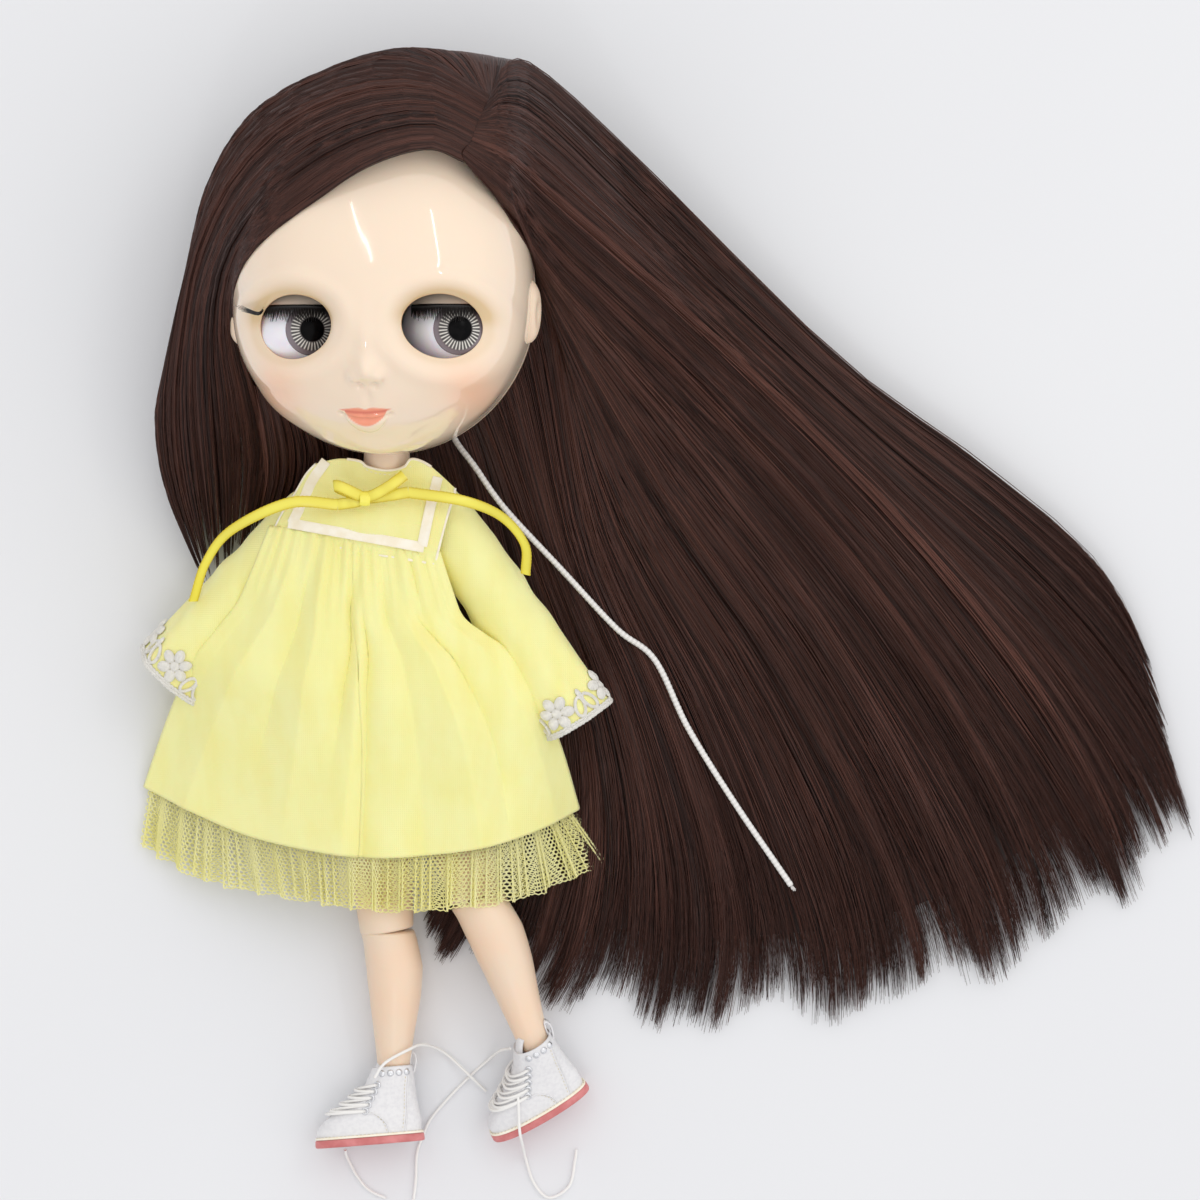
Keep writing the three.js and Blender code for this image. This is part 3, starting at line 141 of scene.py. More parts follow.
class Shape:
    """Points, faces and a tint per point that grow into one mesh."""

    def __init__(self):
        self.points = []
        self.faces = []
        self.tints = []
        self.count = 0

    def add(self, points, faces, tint=0.0, finish=0):
        points = np.asarray(points, float).reshape(-1, 3)
        self.points.append(points)
        self.faces.append((np.asarray(faces, np.int32) + self.count, finish))
        self.tints.append(np.broadcast_to(np.asarray(tint, float), len(points)))
        self.count += len(points)
        return self

    def grid(self, points, wrap=False, tint=0.0, finish=0):
        points = np.asarray(points, float)
        tint = np.broadcast_to(tint, points.shape[:2]).ravel()
        return self.add(points, grid_faces(*points.shape[:2], wrap), tint, finish)

    def sheet(self, top, thickness, tint=0.0, finish=0, wrap=False):
        """A cloth of even thickness whose outer face is a grid of points."""
        top = np.asarray(top, float)
        rows, cols = top.shape[:2]
        across = np.gradient(top, axis=1)
        if wrap:
            across = np.roll(top, -1, 1) - np.roll(top, 1, 1)
        normal = unit(np.cross(across, np.gradient(top, axis=0)))
        low = top - normal * thickness
        self.grid(top, wrap, tint, finish)
        faces = grid_faces(rows, cols, wrap)[:, ::-1]
        self.add(low, faces, np.broadcast_to(tint, (rows, cols)).ravel(), finish)
        a = self.count - 2 * rows * cols
        index = np.arange(rows * cols).reshape(rows, cols)
        edges = [index[0], index[-1][::-1]]
        if not wrap:
            edges += [index[::-1, 0], index[:, -1]]
        for line in edges:
            if wrap:
                line = np.r_[line, line[:1]]
            rim = np.stack([line[1:], line[:-1], line[:-1] + rows * cols, line[1:] + rows * cols], -1)
            self.faces.append((rim.astype(np.int32) + a, finish))
        return self

    def sweep(self, path, section, up=(0, 0, 1), scale=1.0, tint=0.0, finish=0):
        """A section, as (side, normal) pairs, drawn along a path, with its ends shut."""
        path = np.asarray(path, float)
        section = np.asarray(section, float)
        _, normal, side = frames(path, up)
        scale = np.broadcast_to(np.asarray(scale, float), len(path))[:, None, None]
        rings = path[:, None] + scale * (side[:, None] * section[:, :1] + normal[:, None] * section[:, 1:])
        first = self.count
        self.grid(rings, True, np.broadcast_to(tint, rings.shape[:2]), finish)
        n = len(section)
        for ring, turn in ((0, 1), (len(path) - 1, -1)):
            fan = [[first + ring * n + k for k in range(n)][::turn]]
            self.faces.append((np.array(fan, np.int32), finish))
        return self

    def tube(self, path, radius, sides=10, tint=0.0, finish=0):
        circle = np.stack([np.cos(around(sides)), np.sin(around(sides))], -1)
        return self.sweep(path, circle, scale=radius, tint=tint, finish=finish)

    def make(self, name, *finishes, smooth=True):
        mesh = bpy.data.meshes.new(name)
        points = np.concatenate(self.points) * MM
        mesh.vertices.add(len(points))
        mesh.vertices.foreach_set("co", points.astype(np.float32).ravel())
        corners = np.concatenate([f.ravel() for f, _ in self.faces])
        sizes = np.concatenate([np.full(len(f), f.shape[1]) for f, _ in self.faces])
        index = np.concatenate([np.full(len(f), i) for f, i in self.faces])
        mesh.loops.add(len(corners))
        mesh.loops.foreach_set("vertex_index", corners.astype(np.int32))
        mesh.polygons.add(len(sizes))
        mesh.polygons.foreach_set("loop_start", np.r_[0, np.cumsum(sizes)[:-1]].astype(np.int32))
        mesh.polygons.foreach_set("material_index", index.astype(np.int32))
        mesh.update(calc_edges=True)
        mesh.polygons.foreach_set("use_smooth", np.full(len(sizes), smooth))
        mesh.attributes.new("tint", "FLOAT", "POINT")
        mesh.attributes["tint"].data.foreach_set("value", np.concatenate(self.tints).astype(np.float32))
        for finish in finishes:
            mesh.materials.append(finish)
        piece = bpy.data.objects.new(name, mesh)
        bpy.context.scene.collection.objects.link(piece)
        return piece


def colour(red, green, blue):
    """A colour as shown on a screen, 0 to 255, as the renderer's linear one."""
    shares = np.array([red, green, blue]) / 255
    linear = np.where(shares <= 0.04045, shares / 12.92, ((shares + 0.055) / 1.055) ** 2.4)
    return (*map(float, linear), 1.0)


def node(tree, kind, sockets=None, **settings):
    made = tree.nodes.new(kind)
    for key, value in settings.items():
        setattr(made, key, value)
    for key, value in (sockets or {}).items():
        if isinstance(value, bpy.types.NodeSocket):
            tree.links.new(value, made.inputs[key])
        else:
            made.inputs[key].default_value = value
    return made


def mix(tree, factor, a, b):
    return node(tree, "ShaderNodeMix", {0: factor, 6: a, 7: b}, data_type="RGBA").outputs[2]


def ramp(tree, value, low, high):
    """0 to 1 as a value goes from low to high."""
    sockets = {"Value": value, "From Min": low, "From Max": high}
    return node(tree, "ShaderNodeMapRange", sockets, interpolation_type="SMOOTHSTEP").outputs[0]


def noise(tree, scale, detail=2.0, stretch=None):
    where = node(tree, "ShaderNodeTexCoord").outputs["Object"]
    if stretch:
        where = node(tree, "ShaderNodeMapping", {"Vector": where, "Scale": stretch}).outputs[0]
    sockets = {"Vector": where, "Scale": scale, "Detail": detail}
    return node(tree, "ShaderNodeTexNoise", sockets).outputs[0]


def tint_of(tree, name="tint"):
    return node(tree, "ShaderNodeAttribute", attribute_name=name).outputs["Fac"]


def bump(tree, height, depth_mm, strength=1.0):
    sockets = {"Height": height, "Distance": depth_mm * MM, "Strength": strength}
    return node(tree, "ShaderNodeBump", sockets).outputs[0]


def finish(name, base, roughness, **inputs):
    """A finish on the standard shader; returns the material, its tree and its shader."""
    made = bpy.data.materials.new(name)
    made.use_nodes = True
    shader = made.node_tree.nodes["Principled BSDF"]
    shader.inputs["Base Color"].default_value = base
    shader.inputs["Roughness"].default_value = roughness
    for key, value in inputs.items():
        shader.inputs[key.replace("_", " ")].default_value = value
    return made, made.node_tree, shader


def mottled(name, base, roughness, one, other, scale, span=(0.3, 0.7), detail=2.0, **inputs):
    """A finish whose colour drifts between two shades."""
    made, tree, shader = finish(name, base, roughness, **inputs)
    drift = ramp(tree, noise(tree, scale, detail), *span)
    tree.links.new(mix(tree, drift, one, other), shader.inputs["Base Color"])
    return made


def tinted(name, base, roughness, one, other, **inputs):
    """A finish whose colour follows the tint of each point, from one shade to another."""
    made, tree, shader = finish(name, base, roughness, **inputs)
    tree.links.new(mix(tree, tint_of(tree), one, other), shader.inputs["Base Color"])
    return made


def iris_paint(name, base, roughness, dark, light, rim, **inputs):
    """The finish of an iris: rays between two shades, inside a ring of a third."""
    made, tree, shader = finish(name, base, roughness, **inputs)
    rays = mix(tree, tint_of(tree), dark, light)
    tree.links.new(mix(tree, tint_of(tree, "ring"), rays, rim), shader.inputs["Base Color"])
    return made


def metal(name, base, roughness, scale, low, high):
    """A bare metal with a finely uneven gloss."""
    made, tree, shader = finish(name, base, roughness, Metallic=1.0)
    tree.links.new(ramp(tree, noise(tree, scale), low, high), shader.inputs["Roughness"])
    return made


# Finishes of the skin and the face
SKIN = colour(247, 225, 202)
LIMB = colour(238, 214, 190)
FACE_PAINT = {
    "blush": colour(250, 178, 136),
    "shadow": colour(206, 168, 84),
    "lips": colour(248, 158, 126),
    "line": colour(218, 112, 92),
}
skin_finish = mottled(
    "skin_plastic", LIMB, 0.3, LIMB, colour(241, 211, 184), 60,
    Subsurface_Weight=0.12, Subsurface_Scale=0.002, Specular_IOR_Level=0.5,
)
face_finish, tree, shader = finish(
    "face_paint", SKIN, 0.09, Subsurface_Weight=0.1, Subsurface_Scale=0.002,
    Coat_Weight=0.5, Coat_Roughness=0.03,
)
paint = SKIN
for mask, shade in FACE_PAINT.items():
    paint = mix(tree, tint_of(tree, mask), paint, shade)
tree.links.new(paint, shader.inputs["Base Color"])
# The eye rims darken from light tan at the face to brown deep in the openings: painted shade in the recess.
rim_shade_finish = tinted("eye_rim_shaded", colour(196, 138, 96), 0.35, colour(236, 196, 150), colour(176, 118, 78))

# Finishes of the eyes
eye_finish = mottled(
    "eye_white", colour(238, 230, 244), 0.12, colour(250, 245, 253), colour(242, 234, 248), 90, (0.35, 0.7),
    Coat_Weight=0.6, Subsurface_Weight=0.3, Subsurface_Scale=0.005,
)
iris_finish = iris_paint(
    "iris", colour(150, 148, 146), 0.15, colour(78, 74, 74), colour(245, 242, 234), colour(132, 122, 128),
    Specular_IOR_Level=0.3,
)
spare_iris_finish = iris_paint(
    "iris_spare", colour(120, 84, 60), 0.2, colour(74, 44, 30), colour(190, 140, 96), colour(90, 60, 46),
    Coat_Weight=1.0,
)
pupil_finish = mottled(
    "pupil", colour(8, 8, 9), 0.2, colour(7, 7, 8), colour(14, 13, 14), 400, (0.4, 0.6),
    Specular_IOR_Level=0.06,
)
lid_finish = mottled("eyelid", colour(246, 232, 214), 0.3, colour(248, 234, 218), colour(240, 222, 200), 120)
lash_finish = tinted("lash", colour(12, 11, 12), 0.4, colour(8, 8, 9), colour(36, 32, 32))

# Finishes of the hair
HAIR_DRIFT = 0.4
hair_finish, tree, shader = finish("hair", colour(62, 38, 34), 0.34, Specular_IOR_Level=0.26)
streak = mix(tree, tint_of(tree), colour(30, 16, 13), colour(103, 65, 55))
patches = ramp(tree, noise(tree, 26, 3), 0.3, 0.75)
drift = node(tree, "ShaderNodeMath", {0: patches, 1: HAIR_DRIFT}, operation="MULTIPLY").outputs[0]
tree.links.new(mix(tree, drift, streak, colour(58, 33, 27)), shader.inputs["Base Color"])
# The mat under the strands is hair coloured darker than the strands: painted shade of the hair below them.
under_shade_finish = mottled(
    "hair_under_shade", colour(30, 18, 16), 0.6, colour(32, 18, 15), colour(58, 35, 29), 80, detail=4
)

# Finishes of the mechanism
plastic_finish = mottled(
    "inner_plastic", colour(200, 196, 186), 0.45, colour(204, 200, 190), colour(190, 186, 176), 50
)
steel_finish = metal("steel", colour(190, 190, 192), 0.25, 300, -1.6, 2.2)

# Finishes of the dress, its trimmings and the cords
COTTON_THREADS = 520.0
LACE_THREADS = 900.0
NET_THROUGH = 0.5
cloth_finish, tree, shader = finish(
    "dress_cotton", colour(246, 236, 142), 0.85, Sheen_Weight=0.25, Sheen_Roughness=0.5,
    Subsurface_Weight=0.15, Subsurface_Scale=0.0015,
)
yarns = []
for way in ("X", "Y"):
    sockets = {"Vector": node(tree, "ShaderNodeTexCoord").outputs["Object"], "Scale": COTTON_THREADS}
    yarns.append(node(tree, "ShaderNodeTexWave", sockets, bands_direction=way).outputs[1])
weave_and_sheen = node(tree, "ShaderNodeMath", {0: yarns[0], 1: yarns[1]}, operation="ADD").outputs[0]
slub = ramp(tree, noise(tree, 160, 4, (1, 0.25, 1)), 0.25, 0.8)
tree.links.new(mix(tree, slub, colour(249, 243, 172), colour(246, 237, 155)), shader.inputs["Base Color"])
tree.links.new(bump(tree, weave_and_sheen, 0.05, 0.5), shader.inputs["Normal"])
# The ribbon's colour runs from a painted sheen at tint 0 to painted shade at tint 1.
satin_finish = tinted(
    "ribbon_satin", colour(244, 232, 84), 0.28, colour(250, 240, 96), colour(214, 192, 30),
    Specular_IOR_Level=0.7,
)
trim_finish = mottled(
    "trim_satin", colour(250, 240, 214), 0.4, colour(253, 247, 232), colour(247, 237, 214), 300, detail=3
)
net_finish, tree, shader = finish("net_thread", colour(244, 242, 176), 0.6, Sheen_Weight=0.3)
dye = mix(tree, ramp(tree, noise(tree, 40, 2), 0.3, 0.7), colour(255, 253, 214), colour(254, 251, 196))
tree.links.new(dye, shader.inputs["Base Color"])
through = node(tree, "ShaderNodeBsdfTranslucent", {"Color": dye}).outputs[0]
both = node(tree, "ShaderNodeMixShader", {0: NET_THROUGH, 1: shader.outputs[0], 2: through}).outputs[0]
tree.links.new(both, tree.nodes["Material Output"].inputs["Surface"])
lace_finish, tree, shader = finish("lace_thread", colour(252, 249, 242), 0.7)
threads = node(tree, "ShaderNodeTexWave", {"Scale": LACE_THREADS, "Distortion": 2.0}).outputs[1]
tree.links.new(mix(tree, threads, colour(248, 244, 234), colour(255, 253, 248)), shader.inputs["Base Color"])
tree.links.new(bump(tree, threads, 0.12, 0.6), shader.inputs["Normal"])
# On the braided cord the darker shade lies in the grooves between the yarns and the lighter on their crowns:
# painted shade and painted highlight.
cord_finish = tinted("cord_braid", colour(246, 244, 242), 0.6, colour(214, 210, 208), colour(250, 249, 247))

# Finishes of the boots
leather_finish, tree, shader = finish(
    "boot_leather", colour(243, 244, 248), 0.28, Coat_Weight=0.25, Coat_Roughness=0.2
)
grain = noise(tree, 900, 3)
hide = mix(tree, ramp(tree, grain, 0.35, 0.7), colour(232, 231, 233), colour(224, 223, 226))
tree.links.new(hide, shader.inputs["Base Color"])
tree.links.new(bump(tree, grain, 0.03, 0.4), shader.inputs["Normal"])
stitch_finish = mottled(
    "stitch", colour(228, 220, 196), 0.7, colour(236, 229, 208), colour(206, 196, 168), 700
)
sole_finish = mottled(
    "sole_rubber", colour(216, 132, 132), 0.55, colour(220, 138, 138), colour(200, 112, 112), 260, detail=4
)
silver_finish = metal("silver", colour(225, 226, 230), 0.16, 500, -1.2, 4.0)

# The head: a rounded shell with sculpted features, painted, with two openings for the eyes
HEAD_CENTRE = np.array([5.0, 90.0, 46.0])
HEAD_YAW = math.radians(5)
HEAD_HALF = 42.0
HEAD_CHIN = 43.5
HEAD_CROWN = 65.0
HEAD_FRONT = 45.0
HEAD_BACK = 41.0
HEAD_POWER = 2.4
FACE_SPLIT = -2.0
FACE_TOP = 40.0
FACE_TURN = (160, 20)
EYE = np.array([20.4, -10.0, 19.5])
EYE_RADIUS = 13.2
OPENING_AT = (21.4, -10.0)
EYE_OPENING = (11.3, 9.2)
OPENING_MEAN = 9.4
# Each ring of an opening's rim: how deep it lies, and how far outside the opening
RIM_RINGS = [(0, 0), (0.35, -0.12), (0.8, -0.05), (1.6, 0.15), (3.6, 0.3)]


def head_world(p):
    p = np.asarray(p, float)
    c, s = math.cos(HEAD_YAW), math.sin(HEAD_YAW)
    turned = np.stack([p[..., 0] * c - p[..., 2] * s, p[..., 1], p[..., 0] * s + p[..., 2] * c], -1)
    return turned + HEAD_CENTRE


def head_local(p):
    p = np.asarray(p, float) - HEAD_CENTRE
    c, s = math.cos(HEAD_YAW), math.sin(HEAD_YAW)
    return np.stack([p[..., 0] * c + p[..., 2] * s, p[..., 1], p[..., 2] * c - p[..., 0] * s], -1)


def head_share(y, grow=0.0):
    reach = np.where(np.asarray(y) < 0, HEAD_CHIN + grow, HEAD_CROWN + grow)
    return np.sqrt(np.clip(1 - (y / reach) ** 2, 0, 1))


def head_front(x, y, grow=0.0):
    """Depth of the front of the head at a place, without its features."""
    share = np.maximum(head_share(y, grow), 1e-6)
    side = np.clip(np.abs(x) / ((HEAD_HALF + grow) * share), 0, 1)
    return (HEAD_FRONT + grow) * share * (1 - side**HEAD_POWER) ** (1 / HEAD_POWER)


def eye_distance(x, y):
    """How far a place lies outside the nearest eye opening, in millimetres, roughly."""
    u = (np.abs(x) - OPENING_AT[0]) / EYE_OPENING[0]
    v = (y - OPENING_AT[1]) / EYE_OPENING[1]
    return (np.sqrt(u * u + v * v) - 1) * OPENING_MEAN


MOUTH_X = -1.2
MOUTH_Y = -32.9
MOUTH_HALF = 7.6
MOUTH_CURVE = 0.9
UPPER_LIP = 1.45
LIP_BOW = 0.55
LOWER_LIP = 3.7
LOWER_HALF = 5.9
LIP_CREASE = 0.42
# Each feature of the face, on both sides where it is away from the middle: how far it stands out, its place
# and width across, and its place and width upwards
FEATURES = {
    "nose_tip": (3.5, 0, 3.2, -21.0, 3.2),
    "nose_bridge": (1.35, 0, 2.8, -13.5, 7),
    "nose_wings": (1.5, 3.6, 1.7, -22.6, 1.8),
    "nostrils": (-0.9, 2.0, 1.1, -25.0, 1.0),
    "lip_groove": (-0.5, 0, 1.3, -28.2, 2.2),
    "muzzle": (2.1, 0, 10.5, -33.5, 8),
    "chin": (1.2, 0, 6.5, -41, 3.6),
    "chin_dip": (-0.7, 0, 6, -38, 1.9),
    "cheeks": (1.3, 25, 11, -27, 9),
    "inner_sockets": (-1.6, 12, 6, -6, 9),
}
SOCKET_RIDGE = (0.6, 5.0, 2.2)
SOCKET_DIP = (2.5, 4.0)
BLUSH_AT = (27.5, -27.5)
BLUSH_SIZE = 7.2
BLUSH_WIDE = 1.1
EAR_AT = (40.2, -3.5, 2.6)
EAR_HALF = (4.4, 9.2, 5.2)


def lips(x, y):
    """Share of lip colour, how full the lips stand, and the crease between them."""
    x = x - MOUTH_X
    line = MOUTH_Y + MOUTH_CURVE * (x / MOUTH_HALF) ** 2
    open_share = np.clip(1 - (np.abs(x) / MOUTH_HALF) ** 1.7, 0, 1)
    upper = line + (UPPER_LIP - LIP_BOW * hill(x, 1.2)) * open_share
    lower = line - LOWER_LIP * np.clip(1 - (x / LOWER_HALF) ** 2, 0, 1) ** 0.8
    inside = np.minimum(upper - y, y - lower)
    mask = smoothstep(inside, -0.12, 0.22) * (np.abs(x) < MOUTH_HALF)
    full = np.sqrt(np.clip(inside, 0, 2.2)) * 0.75 * mask
    crease = hill(y - line, LIP_CREASE) * smoothstep(MOUTH_HALF + 0.6 - np.abs(x), 0, 1.6)
    return mask, full - 0.85 * crease, crease


def features(x, y):
    """How far the sculpted features stand out from the plain form of the face."""
    side = np.abs(x)
    out = np.zeros_like(side)
    for height, across, wide, up, tall in FEATURES.values():
        out += height * hill(side - across, wide) * hill(y - up, tall)
    gap = np.maximum(eye_distance(x, y), 0)
    ridge, ridge_gap, ridge_width = SOCKET_RIDGE
    dip, dip_width = SOCKET_DIP
    out += ridge * hill(gap - ridge_gap, ridge_width)
    out -= dip * np.clip(1 - gap / dip_width, 0, 1) ** 2
    return out + lips(x, y)[1]


def mark(piece, name, values):
    """A value for each point of a piece, which its finish reads by name."""
    values = np.ravel(values).astype(np.float32)
    piece.data.attributes.new(name, "FLOAT", "POINT").data.foreach_set("value", values)


def plain_head():
    """Rows of places on the head without features, from chin to crown, each starting right of the face."""
    low = -np.cos(np.linspace(0.015, math.pi / 2, 200)) * HEAD_CHIN
    middle = np.linspace(0, FACE_TOP, 110)[1:]
    top = HEAD_CROWN * np.sin(np.linspace(math.asin(FACE_TOP / HEAD_CROWN), math.pi / 2 - 0.01, 26)[1:])
    y = np.r_[low, middle, top][:, None]
    front = np.radians(np.linspace(*FACE_TURN, 280))
    back = np.radians(np.linspace(FACE_TURN[1], FACE_TURN[0] - 360, 90)[1:-1])
    psi = np.r_[front, back][None]
    depth = np.where(np.sin(psi) > 0, HEAD_FRONT, HEAD_BACK)
    radius = (np.abs(np.cos(psi)) / HEAD_HALF) ** HEAD_POWER + (np.abs(np.sin(psi)) / depth) ** HEAD_POWER
    radius = radius ** (-1 / HEAD_POWER)
    share = head_share(y)
    x = radius * np.cos(psi) * share
    z = radius * np.sin(psi) * share
    return x, np.broadcast_to(y, x.shape).copy(), z


def cut_openings(x, y, z):
    """Which places lie inside the eye openings and which form their rims; the rims are moved into place."""
    gap = np.where(z > 0, eye_distance(x, y), OPENING_MEAN)
    inside = gap < 0
    near = np.zeros_like(inside)
    for rows in (-1, 0, 1):
        for cols in (-1, 0, 1):
            near |= ~np.roll(np.roll(inside, rows, 0), cols, 1)
    rim = inside & near
    pull = 1 / (gap[rim] / OPENING_MEAN + 1)
    centre = np.sign(x[rim]) * OPENING_AT[0]
    x[rim] = centre + (x[rim] - centre) * pull
    y[rim] = OPENING_AT[1] + (y[rim] - OPENING_AT[1]) * pull
    z[rim] = head_front(x[rim], y[rim])
    return inside, rim


def head_normals(x, y, z):
    deep = np.where(z > 0, HEAD_FRONT, HEAD_BACK)
    reach = np.where(y < 0, HEAD_CHIN, HEAD_CROWN)
    slope = [
        np.sign(x) * np.abs(x / HEAD_HALF) ** (HEAD_POWER - 1) / HEAD_HALF,
        y / reach**2 * head_share(y) ** (HEAD_POWER - 2),
        np.sign(z) * np.abs(z / deep) ** (HEAD_POWER - 1) / deep,
    ]
    return unit(np.stack(slope, -1))


def paint_face(piece):
    """Where the blush, the eye shadow, the lips and the line between them are painted."""
    x, y, z = head_local(np.array([v.co for v in piece.data.vertices]) / MM).T
    ahead = smoothstep(z, 4, 12)
    above = smoothstep(y - EYE[1], -1, 5)
    gap = np.maximum(eye_distance(x, y), 0)
    lip, _, crease = lips(x, y)
    cheek = np.hypot((np.abs(x) - BLUSH_AT[0]) / BLUSH_WIDE, y - BLUSH_AT[1])
    mark(piece, "blush", 0.5 * hill(cheek, BLUSH_SIZE) * ahead)
    mark(piece, "shadow", np.clip(above * hill(gap, 2.3) + 0.35 * hill(gap, 1.2), 0, 1) * 0.55)
    mark(piece, "lips", lip * ahead)
    mark(piece, "line", 0.85 * crease * lip * ahead)


def build_head():
    x, y, z = plain_head()
    inside, rim = cut_openings(x, y, z)
    lift = features(x, y) * smoothstep(z, 2, 14)
    local = np.stack([x, y, z], -1) + head_normals(x, y, z) * lift[..., None]
    faces = grid_faces(*x.shape, True)
    faces = faces[~inside.ravel()[faces].all(1)]
    is_front = z.ravel()[faces].mean(1) > FACE_SPLIT
    face = Shape().add(head_world(local), faces[is_front])
    for side in SIDES.values():
        ids = np.flatnonzero((rim & (np.sign(x) == side)).ravel())
        used = np.intersect1d(ids, faces)
        angle = np.arctan2(y.ravel()[used] - OPENING_AT[1], x.ravel()[used] - side * OPENING_AT[0])
        loop = local.reshape(-1, 3)[used[np.argsort(angle)]]
        hub = np.array([side * OPENING_AT[0], OPENING_AT[1], 0])
        outward = unit((loop - hub) * [1, 1, 0])
        rings = [head_world(loop + outward * out - np.array([0, 0, sink])) for sink, out in RIM_RINGS]
        # Each rim ring's tint grows with its depth, so the rim is painted darker deeper in the opening:
        # painted shade.
        tint = np.repeat(np.linspace(0, 1, len(RIM_RINGS))[:, None], len(loop), 1)
        face.grid(np.array(rings), True, tint, 1)
    piece = face.make("face", face_finish, rim_shade_finish)
    paint_face(piece)
    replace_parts(piece, "face_plate")
    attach(piece, "head")
    rear = Shape().add(head_world(local), faces[~is_front]).make("head_back", skin_finish)
    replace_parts(rear, "back_plate", "scalp_cap")
    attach(rear, "head")
    build_ears()


def build_ears():
    up, turn = np.meshgrid(np.linspace(-1, 1, 40), np.linspace(0, 2 * math.pi, 48), indexing="ij")
    ring = np.sqrt(np.clip(1 - up**2, 0, 1))
    fold = 1 - 0.34 * hill(np.hypot(np.cos(turn) * ring - 0.25, up + 0.1), 0.45) * (np.sin(turn) > 0)
    for name, side in SIDES.items():
        out = side * (EAR_AT[0] + EAR_HALF[0] * np.sin(turn) * ring * fold)
        deep = EAR_AT[2] + (EAR_HALF[2] + 1.2 * up) * np.cos(turn) * ring
        ear = np.stack([out, EAR_AT[1] + EAR_HALF[1] * up, deep], -1)
        lobe = Shape().grid(head_world(ear), True).make(f"ear_{name}", skin_finish)
        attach(lobe, "head")


# The eyes: globes with an iris that looks to one side, and a spare iris on top that turns into view
GAZE = math.radians(20)
IRIS_RADIUS = 7.1
PUPIL_RADIUS = 3.3
PUPIL_ROWS = 8
IRIS_ROWS = 34
IRIS_COLUMNS = 336
IRIS_RAYS = 34
# Radii between which each part of an iris comes and goes
RAYS_START = (3.4, 3.8)
RAYS_END = (5.7, 6.2)
RING_START = (5.5, 6.0)


def chip(side, yaw, pitch, name, paint):
    """A domed iris with rays, a ring and a pupil, set on an eye."""
    pupil = np.linspace(0.01, PUPIL_RADIUS, PUPIL_ROWS)
    r = np.r_[pupil, np.linspace(PUPIL_RADIUS + 0.02, IRIS_RADIUS, IRIS_ROWS)][:, None]
    a = around(IRIS_COLUMNS)[None]
    ray = np.abs(np.sin(a * IRIS_RAYS / 2)) ** 6
    tint = ray * (smoothstep(r, *RAYS_START) * (1 - smoothstep(r, *RAYS_END)))
    dome = np.sqrt(np.clip(EYE_RADIUS**2 - r**2, 0, None)) + 0.16 * (1 - smoothstep(r, 6.7, IRIS_RADIUS))
    dome = dome + 0.07 * tint - 0.14 * smoothstep(r, 5.7, 6.0) * (1 - smoothstep(r, 6.6, 6.9))
    flat = np.stack(np.broadcast_arrays(r * np.cos(a), r * np.sin(a), dome), -1)
    spin = Matrix.Rotation(yaw, 3, "Y") @ Matrix.Rotation(pitch, 3, "X")
    local = flat @ np.array(spin).T + EYE * [side, 1, 1]
    faces = grid_faces(*local.shape[:2], True)
    dark = (faces.min(1) // IRIS_COLUMNS) < PUPIL_ROWS
    shape = Shape().add(head_world(local), faces[~dark], tint.ravel())
    shape.faces.append((faces[dark], 1))
    piece = shape.make(name, paint, pupil_finish)
    mark(piece, "ring", np.broadcast_to(smoothstep(r, *RING_START), tint.shape))
    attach(piece, "eyes")


def build_eyes():
    tilt, turn = np.meshgrid(
        np.linspace(0.02, math.pi - 0.02, 60), np.linspace(0, 2 * math.pi, 97)[:-1], indexing="ij"
    )
    ball = np.stack([np.sin(tilt) * np.cos(turn), np.cos(tilt), np.sin(tilt) * np.sin(turn)], -1)
    for name, side in SIDES.items():
        globe = Shape().grid(head_world(ball * EYE_RADIUS + EYE * [side, 1, 1]), True)
        piece = globe.make(f"globe_{name}", eye_finish)
        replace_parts(piece, f"eye_{name}")
        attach(piece, "eyes")
        chip(side, GAZE, 0, f"iris_{name}", iris_finish)
        chip(side, 0, -math.pi / 2, f"iris_spare_{name}", spare_iris_finish)
        lid(name, side)
        lashes(name, side)


LID_EDGE = 6.6
LID_INNER = 14.0
LID_OUTER = 14.9
LID_TURN = (44, 150)
LID_BACK = math.radians(122)
LID_FLAT = math.sqrt(LID_OUTER**2 - LID_EDGE**2)
LASH_TURN = (133, 47)
LASH_COUNT = 46
LASH_ROOT = LID_EDGE - 0.4
LASH_THICK = (0.27, 0.05)
# The section of the band that the lashes grow from: how far off the lid, and how far above its edge
LASH_BAND = [(-0.5, 0.15), (0.15, 0.2), (0.3, -0.3), (0.1, -0.75), (-0.35, -0.75), (-0.5, 0.15)]
# The long outer lash of the right eye in the picture, as (pixel x, pixel y, height), and the hairs in it
FLY_LASH = [(259, 313.5, 79), (249, 311, 77), (235, 305.5, 70)]
FLY_HAIRS = 5
FLY_STEPS = 20


def lid(name, side):
    """An eyelid: a piece of a hollow ball with a straight lower edge."""
    hub = EYE * [side, 1, 1]
    turn = np.radians(np.linspace(*LID_TURN, 60))
    across = side * math.sqrt(1 - (LID_EDGE / LID_OUTER) ** 2) * np.cos(turn)[::side]
    rings = []
    for radius, order in ((LID_OUTER, 1), (LID_INNER, -1)):
        reach = radius * np.sqrt(1 - across**2)
        low = np.arcsin(LID_EDGE / reach)
        for share in np.linspace(0, 1, 30)[::order]:
            rise = lerp(low, LID_BACK, share)
            rings.append(np.stack([radius * across, reach * np.sin(rise), reach * np.cos(rise)], -1))
    rings.append(rings[0])
    piece = Shape().grid(head_world(np.array(rings) + hub)).make(f"lid_{name}", lid_finish)
    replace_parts(piece, f"eyelid_{name}")
    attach(piece, "eyelids")


def lash_root(angle):
    return np.array([LID_FLAT * math.cos(angle), LASH_ROOT, LID_FLAT * math.sin(angle)])


